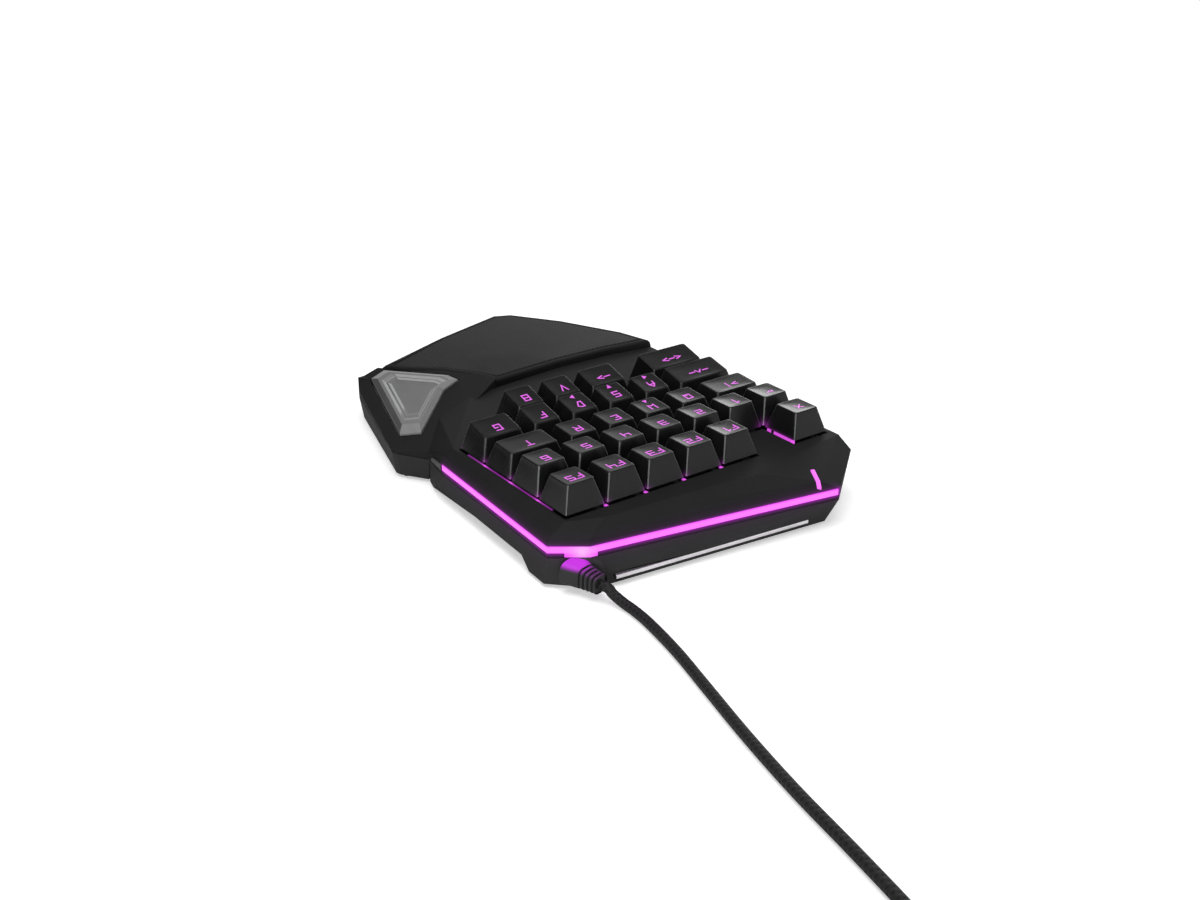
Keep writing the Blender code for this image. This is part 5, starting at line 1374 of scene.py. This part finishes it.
@dataclass
class StrainRelief:
    """The ribbed rubber boot where the cord leaves the housing: seated on the wall under the strip."""

    reach: float = 0.01275
    walls: tuple[tuple[float, float, float, float], ...] = (
        (0.69963, 0.70603, 0.10975, 0.114595),
        (0.55937, 0.76988, 0.30722, 0.112189),
        (0.33064, 0.90926, 0.25284, 0.111173),
        (0.58780, 0.80901, 0.0, 0.114113),
        (0.15979, 0.91694, 0.36563, 0.102863),
    )
    root: float = -0.0015
    collar_end: float = 0.0054
    end: float = 0.01245
    root_size: tuple[float, ...] = (0.0064, 0.0088, 0.0056, 0.0035)
    collar_size: tuple[float, ...] = (0.0041, 0.0047, 0.0046, 0.0038)
    end_size: tuple[float, ...] = (0.0035, 0.0036, 0.0036, 0.0034)
    rib_step: float = 0.00195
    ribs: int = 4
    slot_share: float = 0.36
    slot_depth: float = 0.00095
    roundness: float = 3.4
    sides: int = 64

    def sections(self) -> np.ndarray:
        """Return the boot's sections: distance along the axis, left and right reach, rise and drop.

        The size runs straight from the root to the collar and on to the end; between ribs it
        falls by the slot's depth.

        Returns:
            An array of (count, 5).
        """
        collar = np.linspace(self.root, self.collar_end, 14)
        starts = self.collar_end + np.arange(self.ribs)[:, None] * self.rib_step
        shoulder = 0.06
        shares = np.array([0.0, shoulder, self.slot_share, self.slot_share + shoulder, 1.0 - shoulder])
        sunk = np.array([0.0, 1.0, 1.0, 0.15, 0.0])
        ribbed = (starts + shares * self.rib_step).ravel()
        distance = np.concatenate([collar, ribbed, [self.end - 0.0003, self.end]])
        slots = np.concatenate([np.zeros(len(collar)), np.tile(sunk, self.ribs), [0.0, 0.35]])
        marks = (self.root, self.collar_end, self.end)
        sizes = np.array([self.root_size, self.collar_size, self.end_size])
        columns = [np.interp(distance, marks, sizes[:, side]) - slots * self.slot_depth for side in range(4)]
        return np.column_stack([distance, *columns])

    def build(self, rubber: Material) -> None:
        """Carry rounded squares along the cord's axis, the first of them held back to the wall.

        A section is a superellipse: each of its two coordinates is a cosine or sine raised to two
        over the roundness, its sign kept. A point that would lie inside the wall slides along the
        axis out to the wall's face.

        Args:
            rubber: its finish.
        """
        axis = unit(np.array(CORD_AXIS))
        origin = np.array(CORD_EXIT) - axis * self.reach
        side = unit(np.cross((0.0, 0.0, 1.0), axis))
        lift = np.cross(axis, side)
        ring = circle(round_angles(self.sides))
        wide, high = (np.sign(ring) * np.abs(ring) ** (2 / self.roundness)).T
        sections = self.sections()[:, None, :]
        width = np.where(wide >= 0.0, sections[..., 2], sections[..., 1])
        reach = np.where(high >= 0.0, sections[..., 3], sections[..., 4])
        across = side * (width * wide)[..., None] + lift * (reach * high)[..., None]
        normals, levels = np.hsplit(np.array(self.walls), [3])
        wall = (levels.ravel() - (origin + across) @ normals.T) / (normals @ axis)
        distance = np.maximum(sections[..., 0], wall.min(axis=-1))
        grid = origin + axis * distance[..., None] + across
        mesh = rebuilt("boot", [surface_mesh("boot", grid)], weld)
        solids = ("strain_relief",)
        place_piece("strain_relief_boot", mesh, rubber, BASE, solids, 30.0)


@dataclass
class DomeSheet:
    """The rubber sheet under the keys: a flat sheet, and under each key a dome."""

    sheet: float = 0.0007
    cut: float = 0.00002
    radius: float = 0.0040
    top_radius: float = 0.0022
    lip: float = 0.0004
    fit: float = 0.0003
    sides: int = 24

    def dome(self, height: float) -> np.ndarray:
        """Turn a profile about Z: a lip, then a cone whose radius falls in a straight line to the top.

        Args:
            height: the dome's height.

        Returns:
            Points as an array of (rings, sides, 3) about the foot's middle.
        """
        climb = np.linspace(0.0, 1.0, 5)
        radii = np.concatenate([[self.radius], self.radius + (self.top_radius - self.radius) * climb])
        levels = np.concatenate([[0.0], self.lip + (height - self.lip) * climb])
        grid = np.empty((len(radii), self.sides, 3))
        grid[..., :2] = radii[:, None, None] * circle(round_angles(self.sides))
        grid[..., 2] = levels[:, None]
        return grid

    def build(self, solid: bpy.types.Object, rubber: Material) -> None:
        """Cut the solid's sheet flat, close the cuts, and stand the domes on it.

        Args:
            solid: the sheet's solid.
            rubber: its finish.
        """
        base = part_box("dome_sheet")[0].z + self.sheet
        up = (0.0, 0.0, 1.0)

        def cut(shape: bmesh.types.BMesh) -> None:
            """Cut off what stands over the sheet and close the holes."""
            parts = [*shape.verts, *shape.edges, *shape.faces]
            level = (0.0, 0.0, base + self.cut)
            bmesh.ops.bisect_plane(shape, geom=parts, plane_co=level, plane_no=up, clear_outer=True)
            bmesh.ops.holes_fill(shape, edges=[edge for edge in shape.edges if edge.is_boundary])

        whole = rebuilt("dome_sheet_whole", [solid.data], flatten)
        flat = rebuilt("dome_sheet_flat", [whole], cut)
        place_piece("dome_sheet_flat", flat, rubber, BASE, ("dome_sheet",), 20.0)
        for sign in KEY_SIGNS:
            left, front, top = sign.foot()
            foot, height = (left, front, base), top - self.fit - base
            mesh = surface_mesh(f"dome_{sign.key}", self.dome(height) + foot)
            piece = place_piece(f"dome_{sign.key}", mesh, rubber, BASE, (), 30.0)
            1.0 - KEY_TRAVEL / height
            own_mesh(piece)


@dataclass
class WellRods:
    """Lit rods on the guide plate under the caps, seen through the slit round the caps' skirts."""

    low: float = 0.0208
    step: float = 0.0040
    runs: tuple[tuple[float, float, float, float, float], ...] = (
        (0.0597, 0.0610, 0.0112, 0.0717, 0.02130),
        (-0.0550, -0.0533, 0.0702, 0.0815, 0.02365),
        (-0.0550, -0.0532, 0.0662, 0.0670, 0.02365),
        (-0.0165, -0.0150, 0.0799, 0.0820, 0.02145),
        (0.0026, 0.0041, 0.0799, 0.0820, 0.02145),
        (0.0216, 0.0231, 0.0799, 0.0820, 0.02145),
        (0.0407, 0.0422, 0.0799, 0.0820, 0.02145),
    )

    def rod(self, run: tuple[float, float, float, float, float]) -> Mesh:
        """Carry a low arch along Y: its height is the square root of a half circle's.

        Args:
            run: its lowest and highest X and Y, and its top's height.

        Returns:
            The rod's closed mesh.
        """
        left, right, front, back, high = run
        turn = np.linspace(0.0, math.pi, 9)
        arch = np.sqrt(np.sin(turn)) * (high - self.low)
        profile = np.column_stack([(left + right) / 2 + (right - left) / 2 * np.cos(turn), self.low + arch])
        count = max(2, round((back - front) / self.step) + 1)
        along = np.linspace(back, front, count)
        grid = np.empty((count, len(turn), 3))
        grid[..., (0, 2)] = profile
        grid[..., 1] = along[:, None]
        return surface_mesh("rod", grid)

    def build(self, glow: Material) -> None:
        """Build the rods as one piece.

        Args:
            glow: its finish.
        """
        mesh = rebuilt("well_rods", [self.rod(run) for run in self.runs])
        place_piece("well_rods", mesh, glow, BASE, (), 50.0)


@dataclass
class StripEnd:
    """The unlit end of the strip's lens, a wedge that runs out on the wall before the lit part."""

    start: Pair = (0.0688, 0.0031)
    way: Pair = (-0.0555, -0.9985)
    length: float = 0.0088
    middle: float = 0.0150
    half_height: float = 0.00145
    end_share: float = 0.35
    proud: float = 0.00022
    depth: float = 0.00080

    def build(self, plastic: Material) -> None:
        """Carry a rectangle along the wall, its height falling in a straight line.

        Args:
            plastic: its finish.
        """
        shares = np.linspace(0.0, 1.0, 9)
        way = np.array(self.way)
        out = np.array([-way[1], way[0]])
        along = np.array(self.start) + way * (shares * self.length)[:, None]
        half = self.half_height * (1.0 - shares * (1.0 - self.end_share))
        corners = ((self.proud, 1), (self.proud, -1), (-self.depth, -1), (-self.depth, 1))
        columns = [(along + out * reach, self.middle + side * half) for reach, side in corners]
        mesh = surface_mesh("strip_end", np.stack([np.column_stack(column) for column in columns], axis=1))
        place_piece("strip_end", mesh, plastic, BASE, (), None)


@dataclass(frozen=True)
class Softbox:
    """A soft rectangular lamp aimed at the keypad: its width and height in metres, its power in watts."""

    name: str
    place: Triple
    size: Pair
    power: float


@dataclass
class Studio:
    """The camera at the photograph's angle, soft lamps, a white floor and a white surround."""

    camera_place: Triple = (0.330225, 0.474047, 0.26925)
    target: Triple = (0.032165, 0.063837, 0.0355)
    lens: float = 43.17
    sensor: float = 36.0
    floor_half: float = 6.0
    floor_glow: float = 0.48
    floor_fade: Pair = (0.42, 0.75)
    sky_level: float = 0.30
    horizon_band: Pair = (0.12, 0.67)
    card_ends: tuple[Pair, Pair] = ((-0.014, -0.319), (0.199, -0.073))
    card_height: float = 0.20
    lamp_target: Triple = (0.0, 0.0, 0.02)
    lamps: tuple[Softbox, ...] = (
        Softbox("side_softbox", (-0.830, -0.515, 0.295), (0.48, 0.24), 1.25),
        Softbox("top_softbox", (0.15, 0.10, 1.10), (0.9, 0.9), 8.0),
        Softbox("low_softbox", (0.70, 1.00, 0.14), (0.25, 0.25), 4.5),
    )

    def aim(self, item: bpy.types.Object, place: Triple, target: Triple) -> None:
        """Place a camera or lamp and turn its -Z axis to a target."""
        item.location = place
        item.rotation_euler = (Vector(target) - Vector(place)).to_track_quat("-Z", "Y").to_euler()

    def camera(self) -> None:
        """Make the camera."""
        data = bpy.data.cameras.new("photo_camera")
        data.lens = self.lens
        data.sensor_width = self.sensor
        data.clip_end = 50.0
        item = linked("photo_camera", data)
        self.aim(item, self.camera_place, self.target)
        bpy.context.scene.camera = item

    def lamp(self, box: Softbox) -> None:
        """Make one soft lamp, unseen by the camera.

        Args:
            box: its place, size and power.
        """
        data = bpy.data.lights.new(box.name, "AREA")
        data.shape = "RECTANGLE"
        data.size, data.size_y = box.size
        data.energy = box.power
        item = linked(box.name, data)
        item.visible_camera = False
        self.aim(item, box.place, self.lamp_target)

    def surround(self) -> None:
        """Make the world: soft grey light, white where the camera or glass looks at it.

        Glossy surfaces see it white near the horizon and grey higher up.
        """
        world = bpy.data.worlds.new("studio")
        bpy.context.scene.world = world
        graph = Graph("studio", world)
        camera, glossy, glass = self.rays(graph)
        height = graph.axis("Z", graph.add("ShaderNodeTexCoord", output="Generated"))
        low = 1.0 - height.between(*self.horizon_band)
        white = camera.largest(glass, glossy * low)
        graph.dress(Color=(1.0, 1.0, 1.0), Strength=white * (1.0 - self.sky_level) + self.sky_level)

    def rays(self, graph: Graph) -> tuple[Socket, Socket, Socket]:
        """Return whether a ray comes from the camera, a glossy surface or glass."""
        kinds = ("Is Camera Ray", "Is Glossy Ray", "Is Transmission Ray")
        return tuple(graph.add("ShaderNodeLightPath", output=kind) for kind in kinds)

    def floor(self) -> None:
        """Make the white floor, which reads as white where no shadow falls and far from the keypad."""
        half = self.floor_half
        grid = np.array([[(x, y, 0.0) for x in (-half, half)] for y in (-half, half)])
        mesh = surface_mesh("floor", grid, Form.SHEET)
        graph = Graph("floor_paper")
        camera, glossy, glass = self.rays(graph)
        seen = camera.largest(glossy, glass)
        far = seen * graph.away((0.0, 0.0, 0.0)).between(*self.floor_fade)
        paper = graph.mix(graph.noise(0.002) * 0.02, (0.86, 0.86, 0.86), (0.84, 0.84, 0.84))
        near = graph.mix(camera, BLACK, (self.floor_glow,) * 3)
        graph.dress(
            Base_Color=graph.mix(far, paper, BLACK),
            Roughness=0.9,
            Specular_IOR_Level=0.1,
            Emission_Color=graph.mix(far, near, (1.0, 1.0, 1.0)),
        )
        mesh.materials.append(graph.material)
        linked("floor", mesh)

    def card(self) -> None:
        """Stand a black card beside the keypad, which only reflections see."""
        grid = np.array([[(*end, level) for end in self.card_ends] for level in (0.0, self.card_height)])
        mesh = surface_mesh("black_card", grid, Form.SHEET)
        graph = Graph("card_paper")
        paper = graph.mix(graph.noise(0.002), (0.003, 0.003, 0.003), (0.004, 0.004, 0.004))
        graph.dress(Base_Color=paper, Roughness=0.9, Specular_IOR_Level=0.0)
        mesh.materials.append(graph.material)
        item = linked("black_card", mesh)
        for ray in ("camera", "diffuse", "transmission", "shadow", "volume_scatter"):
            setattr(item, f"visible_{ray}", False)

    def build(self) -> None:
        """Make the floor, the card, the surround and the lamps."""
        self.floor()
        self.card()
        self.surround()
        for box in self.lamps:
            self.lamp(box)
        bpy.context.scene.view_settings.view_transform = "Standard"


@dataclass
class Keypad:
    """The whole keypad: which finish each solid takes and which pieces replace solids."""

    frame: dict
    strip: StripLine = field(default_factory=StripLine)

    def plain_finishes(self) -> dict[str, MouldedPlastic | PlainFinish]:
        """List the finishes of the solids that keep their own shape.

        Returns:
            Each solid's finish by its node's name.
        """
        silicone = PlainFinish("dome_silicone", (0.50, 0.51, 0.53), 0.55)
        board = PlainFinish("board_mask", (0.02, 0.14, 0.06), 0.40)
        rubber = PlainFinish("foot_rubber", (0.018, 0.018, 0.018), 0.82)
        feet = ("cable_corner", "back_left", "left", "wrist", "wing_front", "wing_side")
        shell = MouldedPlastic("housing_plastic", (0.0120, 0.0120, 0.0125), 0.66, glow=self.strip)
        # The tray is painted lighter than the shell: painted light from the white floor on its sides.
        tray = MouldedPlastic("tray_plastic", (0.0280, 0.0280, 0.0285), 0.62, glow=self.strip)
        return {
            "housing_top": shell,
            "housing_bottom": tray,
            "guide_plate": PlainFinish("guide_plastic", (0.012, 0.012, 0.012), 0.55),
            "circuit_sheet": PlainFinish("circuit_film", (0.55, 0.57, 0.55), 0.35),
            "back_plate": PlainFinish("plate_steel", (0.50, 0.51, 0.52), 0.38, 1.0),
            "controller_board": board,
            "thumb_dome": silicone,
            "thumb_board": board,
            **{f"foot_{place}": rubber for place in feet},
        }

    def dress_solids(self) -> None:
        """Give every solid that shows its finish."""
        finishes = self.plain_finishes()
        made = {finish: finish.material() for finish in dict.fromkeys(finishes.values())}
        for node, finish in finishes.items():
            mesh = self.frame["nodes"][node].data
            mesh.materials.clear()
            mesh.materials.append(made[finish])

    def rounded_pieces(self) -> None:
        """Build the pieces that keep a solid's shape with rounded edges."""
        rest = MouldedPlastic("wrist_rest_plastic", (0.0120, 0.0120, 0.0123), 0.66)
        corner = (0.0640, 0.0965, 0.0140)
        lit = LitPlastic("strip_light", 1.0, self.strip.middle, self.strip.half_height, corner)
        window = LitPlastic("indicator_light", 0.95, 0.0190, 0.0060)
        metal = PlainFinish("plug_steel", (0.55, 0.56, 0.57), 0.28, 1.0)
        black = PlainFinish("plug_plastic", (0.018, 0.018, 0.019), 0.42)
        chrome = PlainFinish("trim_chrome", (0.97, 0.97, 0.98), 0.18, 1.0)
        table = (
            (RoundedCopy("wrist_rest", "wrist_rest_shell", "wrist_rest_grey", 0.0005), rest),
            (RoundedCopy("wrist_pad", "wrist_pad_skin", "wrist_pad_grey", 0.0004), RestSkin()),
            (RoundedCopy("light_strip", "light_strip_lens", "light_magenta", 0.0003), lit),
            (RoundedCopy("indicator_lens", "indicator_window", "indicator_magenta", 0.00015), window),
            (RoundedCopy("back_trim", "back_trim_bar", "trim_chrome", 0.0003), chrome),
            (RoundedCopy("plug_body", "plug_grip", "plug_black", 0.0004), black),
            (RoundedCopy("plug_shell", "plug_sleeve", "plug_steel", 0.0001), metal),
            (RoundedCopy("plug_tongue", "plug_contact_tongue", "plug_tongue_black", 0.0001), black),
        )
        for copy, finish in table:
            copy.build(self.frame, finish.material())

    def build(self) -> None:
        """Build every piece and give the solids that show their finishes."""
        self.rounded_pieces()
        Cord().build(BraidedSleeve().material(), ["plug_grip", "plug_sleeve", "plug_contact_tongue"])
        StrainRelief().build(BootRubber().material())
        ThumbKey().build(SmokeKey().material())
        sign_light = LitPlastic("sign_light", 0.60, 0.0360, 0.0200)
        KeyCaps().build(CoatedCap().material(), sign_light.material())
        DomeSheet().build(self.frame["nodes"]["dome_sheet"], self.plain_finishes()["thumb_dome"].material())
        WellRods().build(WellLight().material())
        StripEnd().build(PlainFinish("unlit_lens", (0.034, 0.034, 0.035), 0.40).material())
        self.dress_solids()


def main() -> None:
    """Load the frame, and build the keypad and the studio."""
    logging.basicConfig(level=logging.INFO, format="%(name)s: %(message)s")
    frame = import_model()
    studio = Studio()
    studio.camera()
    Keypad(frame).build()
    studio.build()


if __name__ == "__main__":
    main()
